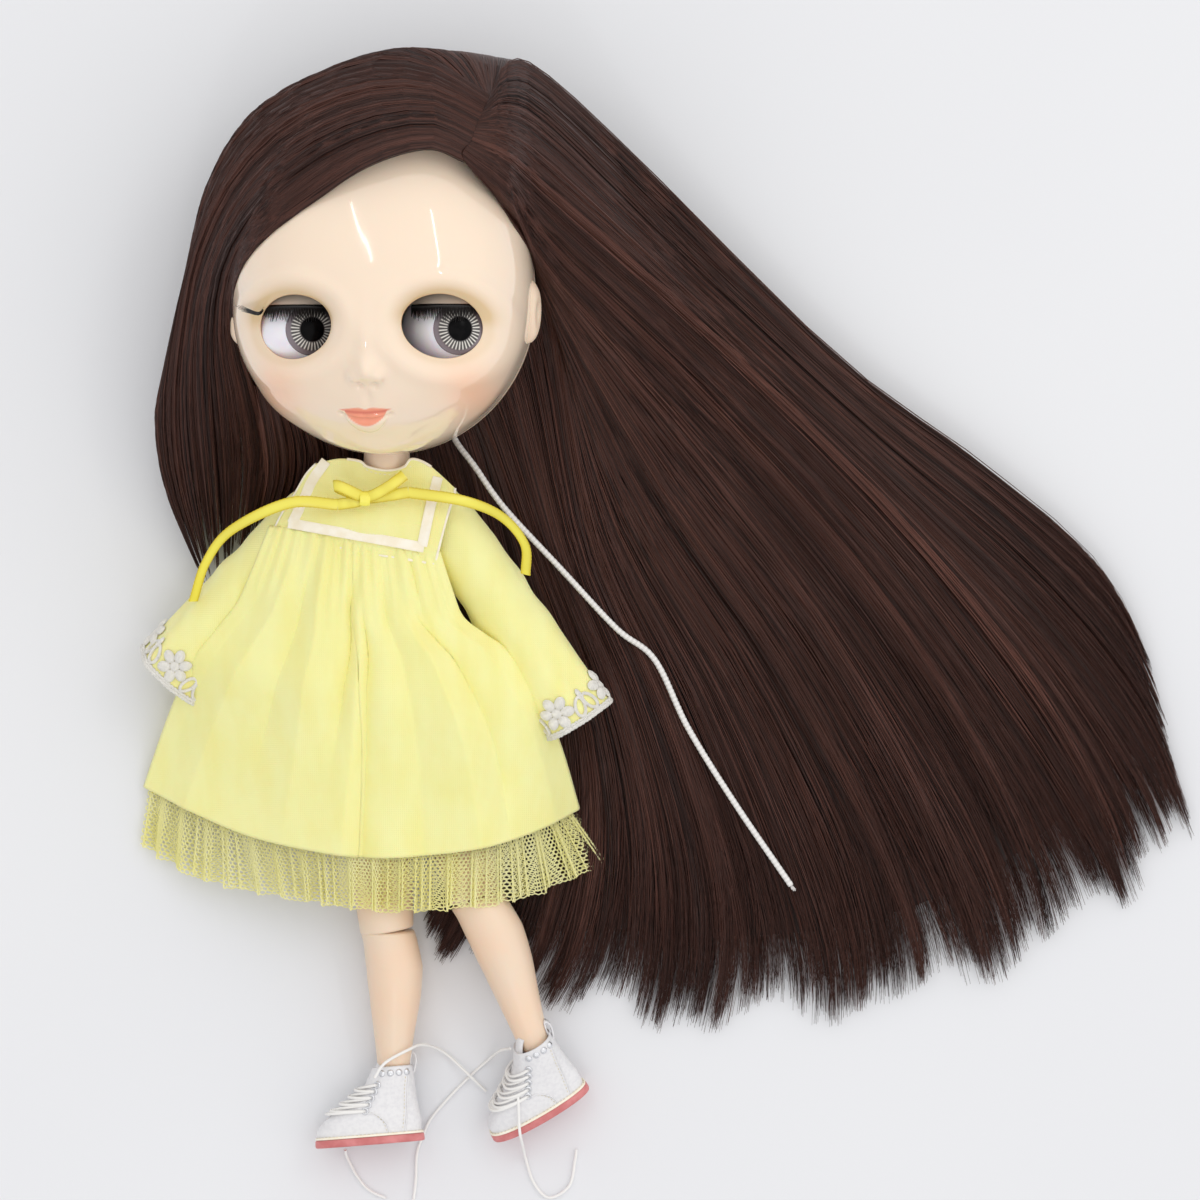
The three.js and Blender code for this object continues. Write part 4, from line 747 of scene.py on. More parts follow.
def lashes(name, side):
    """Curved lashes along the edge of an eyelid, on a band."""
    hub = EYE * [side, 1, 1]
    shape = Shape()
    strip = np.radians(np.linspace(LASH_TURN[1], LASH_TURN[0], 60))
    band = []
    for off, above in LASH_BAND:
        reach = LID_FLAT + off
        height = np.full(len(strip), LID_EDGE + above)
        band.append(np.stack([reach * np.cos(strip), height, reach * np.sin(strip)], -1))
    shape.grid(head_world(np.array(band) + hub))
    t = np.linspace(0, 1, 9)[:, None]
    for k in range(LASH_COUNT):
        share = k / (LASH_COUNT - 1)
        out = lerp(0, 1, share) if side < 0 else lerp(1, 0, share)
        angle = math.radians(lerp(*LASH_TURN, share))
        away = np.array([math.cos(angle), 0, math.sin(angle)])
        sweep = -0.7 + 1.5 * out
        long = lerp(3.6, 5.2, math.sin(math.pi * share)) * rng.uniform(0.75, 1.12)
        aim = np.array([side * 0.25 * sweep, -1.0, 0]) + away * 0.3
        hook = np.array([side * 0.35 * sweep, 0.25, 0]) + away * 0.5
        path = lash_root(angle) + long * (unit(aim) * t + hook * t**2 * 0.45) + rng.normal(0, 0.06, 3) * t
        shape.tube(head_world(path + hub), np.linspace(*LASH_THICK, 9), 5, rng.uniform(0, 0.5))
    if side == SIDES["right"]:
        fly_lash(shape, head_world(lash_root(math.radians(LASH_TURN[0])) + hub))
    piece = shape.make(f"lashes_{name}", lash_finish)
    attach(piece, "eyelids")


def fly_lash(shape, root):
    """A tuft of long hairs that sweeps out from the corner of the eye."""
    path = spline([root, *(seen(*p) for p in FLY_LASH)], FLY_STEPS)
    for k in range(FLY_HAIRS):
        spread = np.array([0.0, lerp(-1.0, 0.9, k / (FLY_HAIRS - 1)), 0.0])
        steps = FLY_STEPS - 2 * abs(k - FLY_HAIRS // 2)
        hair = path + spread * np.linspace(0.2, 1.0, FLY_STEPS)[:, None] ** 1.5
        shape.tube(hair[:steps], np.linspace(0.3, 0.05, steps), 5, 0.2)


# Hair: guide curves read from the picture, each as (pixel x, pixel y, height) from root to tip
FAN_GUIDES = [
    [(385, 340, 8), (395, 405, 12), (402, 455, 13), (430, 540, 9),
     (465, 680, 4), (462, 800, 3.4), (440, 890, 3.4), (416, 938, 3)],
    [(430, 330, 10), (450, 400, 14), (470, 440, 15), (500, 560, 10),
     (525, 700, 5), (520, 820, 4), (485, 915, 4), (455, 975, 3)],
    [(450, 320, 14), (478, 390, 18), (495, 430, 17), (540, 560, 12),
     (590, 700, 6.5), (610, 830, 5.5), (598, 945, 5), (568, 1022, 3)],
    [(530, 262, 38), (546, 312, 29), (556, 362, 23), (590, 540, 14),
     (660, 700, 8), (710, 850, 6), (724, 955, 4.4), (714, 1042, 3)],
    [(500, 203, 73), (531, 250, 54), (548, 305, 36), (640, 500, 16),
     (750, 670, 10), (830, 830, 6.2), (868, 940, 4.2), (876, 1020, 3)],
    [(464, 159, 86), (512, 205, 74), (550, 272, 48), (690, 430, 18),
     (830, 600, 12), (940, 770, 8), (1000, 890, 5.5), (1024, 972, 3)],
    [(471, 141, 86), (508, 160, 81), (552, 200, 62), (720, 350, 22),
     (890, 520, 14), (1020, 680, 9.5), (1100, 810, 6), (1136, 900, 3)],
    [(480, 118, 80), (508, 112, 76), (553, 140, 60), (693, 277, 22),
     (872, 442, 14), (1034, 588, 9.5), (1142, 724, 6), (1192, 838, 3)],
    [(490, 97, 70), (508, 64, 62), (543, 74, 48), (640, 163, 24),
     (840, 360, 13), (985, 468, 9), (1102, 572, 6), (1166, 700, 2.5)],
]
LOCK_GUIDES = [
    [(463, 160, 86), (427, 147, 90), (372, 163, 91), (320, 197, 87), (262, 243, 76),
     (238, 285, 60), (238, 335, 44), (256, 395, 31), (268, 460, 20), (244, 568, 8)],
    [(470, 143, 86), (430, 126, 88), (372, 136, 88), (312, 166, 83), (255, 216, 72),
     (225, 268, 58), (216, 332, 45), (222, 400, 34), (228, 475, 21), (228, 574, 9)],
    [(477, 125, 82), (428, 104, 82), (362, 111, 80), (295, 143, 74), (242, 195, 62),
     (208, 262, 49), (194, 332, 40), (192, 405, 30), (200, 485, 19), (214, 579, 9)],
    [(484, 108, 76), (425, 80, 72), (355, 83, 67), (280, 117, 60), (228, 172, 51),
     (195, 247, 43), (179, 322, 35), (170, 402, 27), (177, 484, 17), (207, 581, 8)],
    [(490, 97, 70), (430, 61, 56), (365, 56, 48), (262, 104, 44), (208, 182, 38),
     (183, 284, 31), (163, 372, 25), (155, 422, 21), (166, 492, 14), (204, 583, 6)],
    [(494, 94, 64), (440, 64, 36), (372, 62, 26), (268, 110, 20), (214, 188, 15),
     (190, 288, 11), (171, 375, 8.4), (163, 425, 6.6), (172, 494, 5), (206, 583, 3.4)],
]
NECK_GUIDES = [
    [(236, 380, 30), (245, 430, 24), (250, 480, 16), (240, 545, 8)],
    [(266, 390, 31), (276, 435, 25), (278, 480, 17), (262, 535, 9)],
    [(292, 405, 30), (306, 440, 24), (306, 475, 18), (288, 515, 11)],
    [(325, 425, 28), (336, 448, 24), (334, 472, 19), (312, 500, 12)],
    [(362, 440, 25), (364, 455, 22), (362, 470, 19), (350, 490, 14)],
]
BACK_GUIDES = [
    [(482, 108, 72), (380, 58, 48), (272, 106, 28), (256, 150, 13), (290, 205, 5)],
    [(486, 104, 71), (420, 50, 46), (345, 62, 26), (330, 85, 12), (335, 120, 5)],
    [(490, 100, 70), (468, 55, 50), (440, 56, 26), (430, 68, 12), (430, 105, 5)],
    [(492, 98, 69), (508, 62, 52), (512, 64, 30), (515, 80, 14), (510, 115, 5)],
]
# How deep the hair lies under each point of its guides
FAN_DEPTH = [1.5, 2, 6, 9, 9, 7.5, 5, 1.6]
LOCK_DEPTH = [1, 1.2, 1.4, 1.6, 2.2, 4, 6, 7, 6, 2]
NECK_DEPTH = [3, 4, 5, 3]
BACK_DEPTH = [1, 1.6, 2, 2, 1.5]
# How the strands of each part lie: clumps, strands in a clump and points on a strand; then the spread of a
# clump, how ragged the ends are and how far a clump sways, as shares; and the thickness of a strand
FAN_LAY = {
    "clumps": 75, "per_clump": 20, "steps": 20, "spread": 0.0065, "ragged": 0.16, "sway": 0.006,
    "thick": 0.34,
}
LOCK_LAY = {
    "clumps": 60, "per_clump": 25, "steps": 20, "spread": 0.008, "ragged": 0.09, "sway": 0.005, "thick": 0.34,
}
NECK_LAY = {
    "clumps": 40, "per_clump": 22, "steps": 12, "spread": 0.012, "ragged": 0.1, "sway": 0.006, "thick": 0.34,
}
BACK_LAY = {
    "clumps": 60, "per_clump": 26, "steps": 16, "spread": 0.012, "ragged": 0.02, "sway": 0.004, "thick": 0.36,
}
# The ends fall in lobes: two waves across the hair, each as its size, its rate and its start
LOBE = (0.35, 47, 1.0)
SMALL_LOBE = (0.3, 88, 2.2)
LOBE_PINCH = 0.007
LANE_STEPS = 96
END_GATHER = 0.72
STRAND_TAPER = 0.72
STRAND_FLOOR = 0.35
STRAND_CORNER = 2.0944
STRAND_LIFT = (1.1, 0.3)
STRAND_TINT = 0.42
FRONT_FROM = 6


def guide_net(guides):
    return np.array([[seen(*p) for p in guide] for guide in guides])


def off_head(points, lift):
    """Points in front of the head's middle, brought out to a lift above its surface where they are inside."""
    local = head_local(points)
    front = head_front(local[..., 0], local[..., 1]) + lift
    ahead = local[..., 2] > FRONT_FROM
    local[..., 2] = np.where(ahead, np.maximum(local[..., 2], front), local[..., 2])
    return head_world(local)


def strands(guides, depth, clumps, per_clump, steps, spread, ragged, sway, thick):
    """Tapered strands in clumps between guide curves, as points, widths and tints."""
    net = guide_net(guides)
    many = clumps * per_clump
    lanes, stops = net.shape[:2]
    u0 = np.repeat((np.arange(clumps) + rng.uniform(0.1, 0.9, clumps)) / clumps, per_clump)
    w0 = np.repeat(rng.uniform(0, 1, clumps) ** 2.2, per_clump)
    reach = np.repeat(1 - ragged * rng.uniform(-0.35, 1, clumps) ** 2, per_clump)
    size, rate, start = LOBE
    small_size, small_rate, small_start = SMALL_LOBE
    lobes = 0.5 + size * np.sin(rate * u0 + start) + small_size * np.sin(small_rate * u0 + small_start)
    reach = reach - 0.35 * ragged * rng.uniform(0, 1, many) - 0.32 * ragged * lobes
    v = np.linspace(0, 1, steps)[None] * reach[:, None]
    gather = 1 - END_GATHER * smoothstep(v, 0.62, 1.0)
    u = u0[:, None] + rng.normal(0, spread, many)[:, None] * gather
    phase = np.repeat(rng.uniform(0, 6.28, (clumps, 3)), per_clump, 0)
    swing = np.repeat(rng.normal(0, 1, (clumps, 2)), per_clump, 0)
    u = u + sway * smoothstep(v, 0.1, 1) * (
        swing[:, :1] * np.sin(2.2 * v + phase[:, :1]) + 0.5 * swing[:, 1:] * np.sin(5 * v + phase[:, 1:2])
    )
    u = u - LOBE_PINCH * np.cos(rate * u0 + start)[:, None] * smoothstep(v, 0.7, 1)
    u = u + 0.25 * spread * np.sin(9 * v + rng.uniform(0, 6.28, many)[:, None])
    u = np.clip(u, -0.015, 1.015) * (lanes - 1)
    t = v * (stops - 1)
    along = np.stack([spline_at(lane, np.linspace(0, stops - 1, LANE_STEPS)) for lane in net])
    place = t / (stops - 1) * (LANE_STEPS - 1)
    i = np.clip(np.floor(u).astype(int), 0, lanes - 2)
    j = np.clip(np.floor(place).astype(int), 0, LANE_STEPS - 2)
    fu = (u - i)[..., None]
    fj = (place - j)[..., None]

    def at(lane):
        lane = np.clip(lane, 0, lanes - 1)
        return along[lane, j] * (1 - fj) + along[lane, j + 1] * fj

    points = cubic(at(i - 1), at(i), at(i + 1), at(i + 2), fu)
    sink = np.interp(t.ravel(), np.arange(stops), depth).reshape(t.shape)
    layer = np.clip(w0[:, None] + rng.normal(0, 0.12, many)[:, None], 0, 1)
    points[..., 2] -= layer * sink
    points[..., 2] += np.repeat(rng.normal(0, 0.32, clumps), per_clump)[:, None] * smoothstep(v, 0.02, 0.2)
    points[..., 2] += 0.35 * np.sin(7 * v + phase[:, 2:]) * smoothstep(v, 0.2, 0.6)
    points = off_head(points, lerp(*STRAND_LIFT, layer))
    points[..., 2] = np.maximum(points[..., 2], STRAND_FLOOR)
    taper = 1 - STRAND_TAPER * smoothstep(np.linspace(0, 1, steps)[None], 0.6, 1)
    width = thick * rng.uniform(0.75, 1.25, many)[:, None] * taper
    shade = STRAND_TINT + np.repeat(rng.normal(0, 0.17, clumps), per_clump)
    return points, width, np.clip(shade + rng.normal(0, 0.2, many), 0, 1)


def strand_mesh(points, width, tint):
    """Three-sided strands along rows of points."""
    many, steps = points.shape[:2]
    tangent = unit(np.gradient(points, axis=1))
    side = unit(np.cross(tangent, [0.05, 0.02, 1.0]))
    up = np.cross(side, tangent)
    spin = rng.uniform(0, 2.1, many)[:, None]
    rings = []
    for k in range(3):
        a = spin + k * STRAND_CORNER
        out = np.cos(a)[..., None] * side + np.sin(a)[..., None] * up
        rings.append(points + out * width[..., None] / 2)
    rings = np.stack(rings, 2)
    base = np.arange(many)[:, None, None, None] * steps * 3
    local = grid_faces(steps, 3, True)[None]
    faces = (base[:, 0] + local).reshape(-1, 4)
    return Shape().add(rings, faces, np.repeat(tint, steps * 3))


def hair_base(guides, depth, sink, name):
    """A mat of hair under the strands, coloured darker than them: painted shade of the hair below."""
    net = guide_net(guides)
    stops = net.shape[1]
    places = np.linspace(0, stops - 1, MAT_STEPS)
    lane = np.stack([spline_at(g, places) for g in net])
    across = np.linspace(0, len(net) - 1, MAT_LANES)
    rows = np.stack([spline_at(lane[:, k], across) for k in range(MAT_STEPS)], 1)
    drop = np.interp(places, np.arange(stops), depth)[None] * sink
    rows[..., 2] = rows[..., 2] - drop
    rows = off_head(rows, MAT_LIFT)
    rows[..., 2] = np.maximum(rows[..., 2], MAT_FLOOR)
    keep = rows[:, :MAT_ROWS]
    low = keep.copy()
    low[..., 2] = np.maximum(np.minimum(keep[..., 2] - MAT_THICKNESS, MAT_HEIGHT), 0.2)
    shape = Shape().grid(keep, tint=rng.uniform(0, 0.5, (MAT_LANES, 1)))
    shape.grid(low[::-1], tint=0.2)
    for top, bottom in ((keep[0], low[0]), (keep[-1], low[-1]), (keep[:, -1], low[:, -1])):
        shape.grid(np.stack([top, bottom]), tint=0.2)
    return shape.make(name, under_shade_finish)


# The mat of painted shade under the strands, its lengths in millimetres, and the number of pieces of the fan
# and the lock
MAT_STEPS = 60
MAT_LANES = 70
MAT_ROWS = 50
MAT_HEIGHT = 14
MAT_THICKNESS = 1.2
MAT_LIFT = 0.25
MAT_FLOOR = 0.5
FAN_PIECES = 8
LOCK_PIECES = 3


def build_hair():
    fan = [hair_base(FAN_GUIDES, FAN_DEPTH, 0.5, "hair_fan_under")]
    for k in range(FAN_PIECES):
        data = strands(FAN_GUIDES, FAN_DEPTH, **FAN_LAY)
        fan.append(strand_mesh(*data).make(f"hair_fan_strands_{k + 1}", hair_finish))
    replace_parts(fan[1], "hair_fan")
    for piece in fan:
        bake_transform(piece)
    lock = [hair_base(LOCK_GUIDES, LOCK_DEPTH, 1.3, "hair_lock_under")]
    lock.append(hair_base(NECK_GUIDES, NECK_DEPTH, 0.5, "hair_neck_under"))
    for k in range(LOCK_PIECES):
        data = strands(LOCK_GUIDES, LOCK_DEPTH, **LOCK_LAY)
        lock.append(strand_mesh(*data).make(f"hair_lock_strands_{k + 1}", hair_finish))
    data = strands(NECK_GUIDES, NECK_DEPTH, **NECK_LAY)
    lock.append(strand_mesh(*data).make("hair_neck_strands", hair_finish))
    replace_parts(lock[2], "hair_lock", "hair_cap")
    for piece in lock:
        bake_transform(piece)
    crown = [hair_base(BACK_GUIDES, BACK_DEPTH, 0.6, "hair_crown_under")]
    data = strands(BACK_GUIDES, BACK_DEPTH, **BACK_LAY)
    crown.append(strand_mesh(*data).make("hair_crown_strands", hair_finish))
    for piece in crown:
        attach(piece, "head")


# The body's own frame: x across, y up the spine, z to the front
PELVIS = np.array([5.0, -25.0, 13.2])
BODY_SIDE = np.array([0.9999574, 0.0092304, 0.0])
BODY_UP = np.array([-0.0088449, 0.9581936, 0.2859839])
BODY_FRONT = np.cross(BODY_SIDE, BODY_UP)
# The body's girth: height up the spine, half width and half depth
BODY_STATIONS = [
    (40, 14.4, 10.2), (46, 15.5, 10.5), (51, 16.4, 10.8), (56, 15.6, 9.9), (60, 14.6, 8.8), (65.5, 9.4, 7.4),
]
BODICE_OUT = 1.8
BIB_CROWN = 13.1
BIB_ROUND = 0.0068
BIB_FALL = 4.6
BIB_FALL_SPAN = (57, 68)
CHEST_HEIGHT = 42.0


def body_world(x, y, z):
    x, y, z = (np.asarray(v, float)[..., None] for v in (x, y, z))
    return PELVIS + x * BODY_SIDE + y * BODY_UP + z * BODY_FRONT


def on_chest(px, py, lift=0.0):
    """The point on the bib, raised by a lift, that shows at a place of the picture."""
    z = np.full(np.shape(px), CHEST_HEIGHT)
    for _ in range(5):
        x, y, _ = seen(np.asarray(px, float), np.asarray(py, float), z)
        out = BIB_CROWN
        for _ in range(3):
            up = (y - PELVIS[1] - BODY_FRONT[1] * out) / BODY_UP[1]
            fall = BIB_FALL * smoothstep(up, *BIB_FALL_SPAN)
            out = BIB_CROWN + lift - BIB_ROUND * (x - PELVIS[0]) ** 2 - fall
        z = PELVIS[2] + BODY_UP[2] * up + BODY_FRONT[2] * out
    return np.stack([x, y, z], -1)


def planar(points, count):
    return spline([(x, y, 0) for x, y in points], count)[:, :2]


def patch(bottom, top, left, right):
    """A grid that fills four edges; left and right run from bottom to top."""
    v = np.linspace(0, 1, len(left))[:, None, None]
    u = np.linspace(0, 1, len(bottom))[None, :, None]
    ruled = lerp(bottom[None], top[None], v) + lerp(left[:, None], right[:, None], u)
    corners = lerp(lerp(bottom[0], bottom[-1], u), lerp(top[0], top[-1], u), v)
    return ruled - corners


# Bib: its four edges in the picture, the satin band inside them and the stitches at the neck
BIB_BOTTOM = [(272, 534.5), (326, 545), (380, 555), (435, 564)]
BIB_TOP = [
    (316, 464), (338, 459), (359, 461), (368, 467), (388, 470.5),
    (404, 467), (412, 459), (430, 466), (455, 488),
]
BIB_LEFT = [(272, 534.5), (281, 516), (295, 494), (306, 475), (316, 464)]
BIB_RIGHT = [(435, 564), (442, 535), (449, 510), (454, 495), (455, 488)]
BAND_LEFT = [(326, 461), (312, 481), (304, 499), (292, 523.5)]
BAND_BOTTOM = [(288.5, 523), (330, 530.5), (380, 539.5), (424, 547.5)]
BAND_RIGHT = [(438, 477), (431, 504), (422, 546)]
BANDS = [BAND_LEFT, BAND_RIGHT, BAND_BOTTOM]
NECK_STITCHES = [(362, 465), (370, 471.5), (388, 474.5), (405, 471), (413, 464)]
BAND_HALF = 1.45
BIB_THICKNESS = 0.6
BODICE_THICKNESS = 0.5
BODICE_SPAN = (40, 65.5)
RIBBON_HALF = 1.5
RIBBON_THICKNESS = 0.14


def flat_section(half, thick):
    return [(-half, -thick / 2), (half, -thick / 2), (half, thick / 2), (-half, thick / 2)]


def stitches(shape, path, gap, long, radius, material=0):
    """Running stitches along a path, as short rounded bars."""
    for at in np.arange(0.3, length_of(path) - long, gap):
        bar = walk(path, np.linspace(at, at + long, 5))
        shape.tube(bar, radius * np.array([0.4, 1, 1.1, 1, 0.4]), 6, 0.0, material)


def bib_piping(bottom, top, left, right):
    """The piped edges of the bib and its stitches."""
    piping = Shape()
    rim = np.concatenate([left[::-1], bottom[1:], right[1:]])
    piping.tube(on_chest(rim[:, 0], rim[:, 1], -0.15), 0.42, 8)
    neck = top[14:56]
    piping.tube(on_chest(neck[:, 0], neck[:, 1], -0.1), 0.38, 8)
    inset = planar(NECK_STITCHES, 40)
    stitches(piping, on_chest(inset[:, 0], inset[:, 1], 0.08), 1.3, 0.8, 0.12)
    for band in BANDS:
        middle = on_chest(*planar(band, 60).T, 0.5)
        _, _, side = frames(middle)
        for sign in (-1, 1):
            stitches(piping, middle + side * sign * (BAND_HALF - 0.25), 0.9, 0.5, 0.07)
    return piping


def build_bib():
    edges = [planar(BIB_BOTTOM, 70), planar(BIB_TOP, 70), planar(BIB_LEFT, 50), planar(BIB_RIGHT, 50)]
    flat = patch(*edges)
    top = on_chest(flat[..., 0], flat[..., 1])
    top[..., 2] += 0.22 * np.sin(flat[..., 0] * 0.07 + 1.3 * np.sin(flat[..., 1] * 0.05))
    bib = Shape().sheet(top, BIB_THICKNESS).make("bib", cloth_finish)
    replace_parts(bib, "dress_collar")
    trim = Shape()
    for route in BANDS:
        line = planar(route, 60)
        trim.sweep(on_chest(line[:, 0], line[:, 1], 0.32), flat_section(BAND_HALF, 0.3))
    band = trim.make("bib_band", trim_finish, smooth=False)
    edge = bib_piping(*edges).make("bib_piping", trim_finish)
    for piece in (bib, band, edge):
        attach(piece, "torso")


def build_bodice():
    ys, halves, depths = np.array(BODY_STATIONS).T
    y = np.linspace(*BODICE_SPAN, 40)[:, None]
    a = around(96)[None]
    crease = 0.25 * np.sin(5 * a + y * 0.3) + 0.2 * np.sin(11 * a - y * 0.5)
    grow = BODICE_OUT + crease
    x = (np.interp(y, ys, halves) + grow) * np.cos(a)
    z = (np.interp(y, ys, depths) + grow) * np.sin(a)
    cloth = Shape().sheet(body_world(x, y + 0 * a, z), BODICE_THICKNESS, wrap=True)
    bodice = cloth.make("bodice", cloth_finish)
    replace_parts(bodice, "dress_bodice")
    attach(bodice, "torso")


# Skirt: its two side edges and its hem in the picture, as (pixel x, pixel y, height)
SKIRT_LEFT = [
    (270, 526, 35.2), (250, 577, 34), (236, 606, 31), (214, 633, 28),
    (193, 660, 25), (174, 703, 15), (158, 746, 7), (144, 787, 2.6),
]
SKIRT_RIGHT = [
    (439, 552, 37.6), (452, 592, 36), (463, 618, 33), (486, 636, 32),
    (507, 652, 31), (539, 697, 27), (560, 745, 19), (579, 809, 6),
]
SKIRT_SEAM = [(270, 526, 35.2), (312, 530, 38.4), (356, 537, 39.6), (400, 545, 39.6), (439, 552, 37.6)]
SKIRT_HEM = [
    (144, 787, 2.6), (195, 813, 12), (250, 836, 20), (310, 850, 25.5), (370, 858, 27.5),
    (430, 855, 26.5), (490, 846, 24), (540, 829, 16), (579, 809, 6),
]
# Each fold: its place across the cloth from -1 to 1 at the seam, half way and at the hem, its width in
# millimetres at the seam and hem, its depth, and where down the cloth it starts and ends
SKIRT_FOLDS = [
    (0.06, -0.11, -0.17, 1.4, 5.0, -2.4, 0.0, 0.78),
    (0.16, 0.0, 0.02, 1.6, 4.0, -2.3, 0.12, 1.3),
    (0.13, -0.06, -0.06, 3.0, 8.0, 1.9, 0.04, 1.2),
    (0.5, 0.70, 0.62, 1.8, 5.0, -2.1, 0.1, 1.05),
    (0.42, 0.52, 0.5, 3.0, 9.0, 1.4, 0.1, 1.2),
    (-0.42, -0.46, -0.5, 1.8, 7.0, -1.7, 0.0, 0.85),
    (-0.3, -0.3, -0.32, 2.4, 9.0, 1.2, 0.0, 1.1),
    (-0.62, -0.74, -0.78, 2.4, 7.0, 1.2, 0.05, 1.3),
    (0.3, 0.28, 0.27, 2.0, 9.0, -1.1, 0.0, 1.2),
    (0.8, 0.9, 0.86, 2.2, 6.0, 1.0, 0.1, 1.3),
    (-0.84, -0.9, -0.92, 2.0, 6.0, -0.9, 0.1, 1.2),
    (-0.16, -0.18, -0.3, 1.0, 3.0, -1.3, -0.1, 0.22),
    (-0.62, -0.6, -0.6, 1.0, 3.0, -1.2, -0.1, 0.2),
    (0.36, 0.37, 0.4, 1.0, 2.6, -1.3, -0.1, 0.24),
    (0.62, 0.66, 0.66, 1.0, 2.6, -1.4, -0.1, 0.26),
    (-0.05, -0.05, -0.05, 1.0, 2.6, 0.9, -0.1, 0.2),
    (0.8, 0.82, 0.82, 0.9, 2.4, -1.0, -0.1, 0.2),
]
FOLD_SCALE = 2.0
GATHER_DEPTH = 0.42
SKIRT_ROWS = 110
SKIRT_COLS = 230
BACK_COLS = 78
CLOTH_THICKNESS = 0.45
# How far the sides of the skirt turn in under it, and the share of the edge's height that is left there
SIDE_INWARD = np.array([1.2, 3.5, 7, 10.5, 13, 14])
SIDE_LEVEL = np.array([0.94, 0.8, 0.58, 0.34, 0.14, 0.04])


def follow_leg(piece):
    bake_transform(piece)


def skirt_front():
    """The front of the skirt as rows of points from seam to hem, left to right."""
    left, right = (np.array([seen(*p) for p in edge]) for edge in (SKIRT_LEFT, SKIRT_RIGHT))
    seam, hem = (np.array([seen(*p) for p in edge]) for edge in (SKIRT_SEAM, SKIRT_HEM))
    edges = [(seam, SKIRT_COLS), (hem, SKIRT_COLS), (left, SKIRT_ROWS), (right, SKIRT_ROWS)]
    grid = patch(*(spline(edge, count) for edge, count in edges))
    t = np.linspace(0, 1, SKIRT_ROWS)[:, None]
    a = np.linspace(-1, 1, SKIRT_COLS)[None]
    half = np.linalg.norm(grid[:, -1] - grid[:, 0], axis=1)[:, None] / 2
    lift = np.zeros_like(grid[..., 0])
    for seam_a, mid_a, hem_a, thin, wide, depth, first, last in SKIRT_FOLDS:
        centre = lerp(lerp(seam_a, mid_a, t), lerp(mid_a, hem_a, t), t)
        x = (a - centre) * half
        width = lerp(thin, wide, t)
        along = smoothstep(t, first, first + 0.22) * (1 - smoothstep(t, last - 0.3, last))
        lift += FOLD_SCALE * depth * along * np.exp(-np.sqrt(x * x + 0.06) / width)
    lift += 0.18 * np.sin(13 * a + 4 * t) * np.sin(9 * t + 3 * a)
    lift += GATHER_DEPTH * np.sin(50 * a + 2.4 * np.sin(6 * a)) * (1 - smoothstep(t, 0.06, 0.34))
    grid[..., 2] += lift * (1 - a**8)
    return grid


def build_skirt():
    front = skirt_front()
    t = np.linspace(0, 1, SKIRT_ROWS)
    back_z = lerp(13.0, 0.7, smoothstep(t, 0, 0.28))[:, None]
    sides = []
    for edge, sign in ((front[:, -1], -1), (front[:, 0], 1)):
        drop = np.repeat(edge[:, None], len(SIDE_INWARD), 1)
        drop[..., 0] += sign * SIDE_INWARD
        drop[..., 2] = np.maximum(edge[:, 2:] * SIDE_LEVEL, np.minimum(back_z, edge[:, 2:] * 0.9))
        sides.append(drop)
    share = np.linspace(0, 1, BACK_COLS + 2)[None, 1:-1, None]
    flat = lerp(sides[0][:, -1:], sides[1][:, -1:], share)
    raised = 4.4 * smoothstep(flat[..., 0], 8, 40) * smoothstep(t, 0.2, 0.5)[:, None]
    ripple = 0.25 * np.sin(np.linspace(0, 22, BACK_COLS))[None] * smoothstep(t, 0.1, 0.5)[:, None]
    flat[..., 2] = back_z + raised + ripple + 0.25
    ring = np.concatenate([front, sides[0], flat, sides[1][:, ::-1]], 1)
    middle = SKIRT_COLS // 2
    back_middle = SKIRT_COLS + len(SIDE_INWARD) + BACK_COLS // 2
    halves = {
        "left": np.arange(middle, back_middle + 1),
        "right": np.r_[np.arange(back_middle, ring.shape[1]), np.arange(0, middle + 1)],
    }
    for name, columns in halves.items():
        skirt = Shape().sheet(ring[:, columns], CLOTH_THICKNESS).make(f"skirt_{name}", cloth_finish)
        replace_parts(skirt, "skirt_front", "skirt_back")
        follow_leg(skirt)


# Net ruffle: its upper and lower edges in the picture, as (pixel x, pixel y, height)
NET_UPPER = [
    (152, 772, 2.4), (200, 802, 11), (250, 824, 18), (310, 838, 23.5), (370, 846, 25.4),
    (430, 843, 24.6), (490, 835, 22), (535, 820, 14.5), (570, 803, 5),
]
NET_LOWER = [
    (141, 852, 2), (195, 884, 8), (262, 900, 14), (318, 909, 19), (372, 917, 21.5),
    (430, 917, 22.5), (490, 912, 22.6), (550, 896, 10.4), (619, 862, 2.4),
]
NET_WIDTH = 200.0
NET_DEPTH = 22.0
NET_CELL = 1.3
NET_ROW = 1.05
NET_STAGGER = 0.17
NET_THREAD = 0.2
NET_GATHERS = 24
# The ruffle's layers: the start of their gathers, and their depth as a share
NET_LAYERS = ((0.0, 1.0), (2.1, 0.96))
NET_FLOOR = 0.4
THREAD_CORNERS = (0.5236, 2.618, 4.7124)


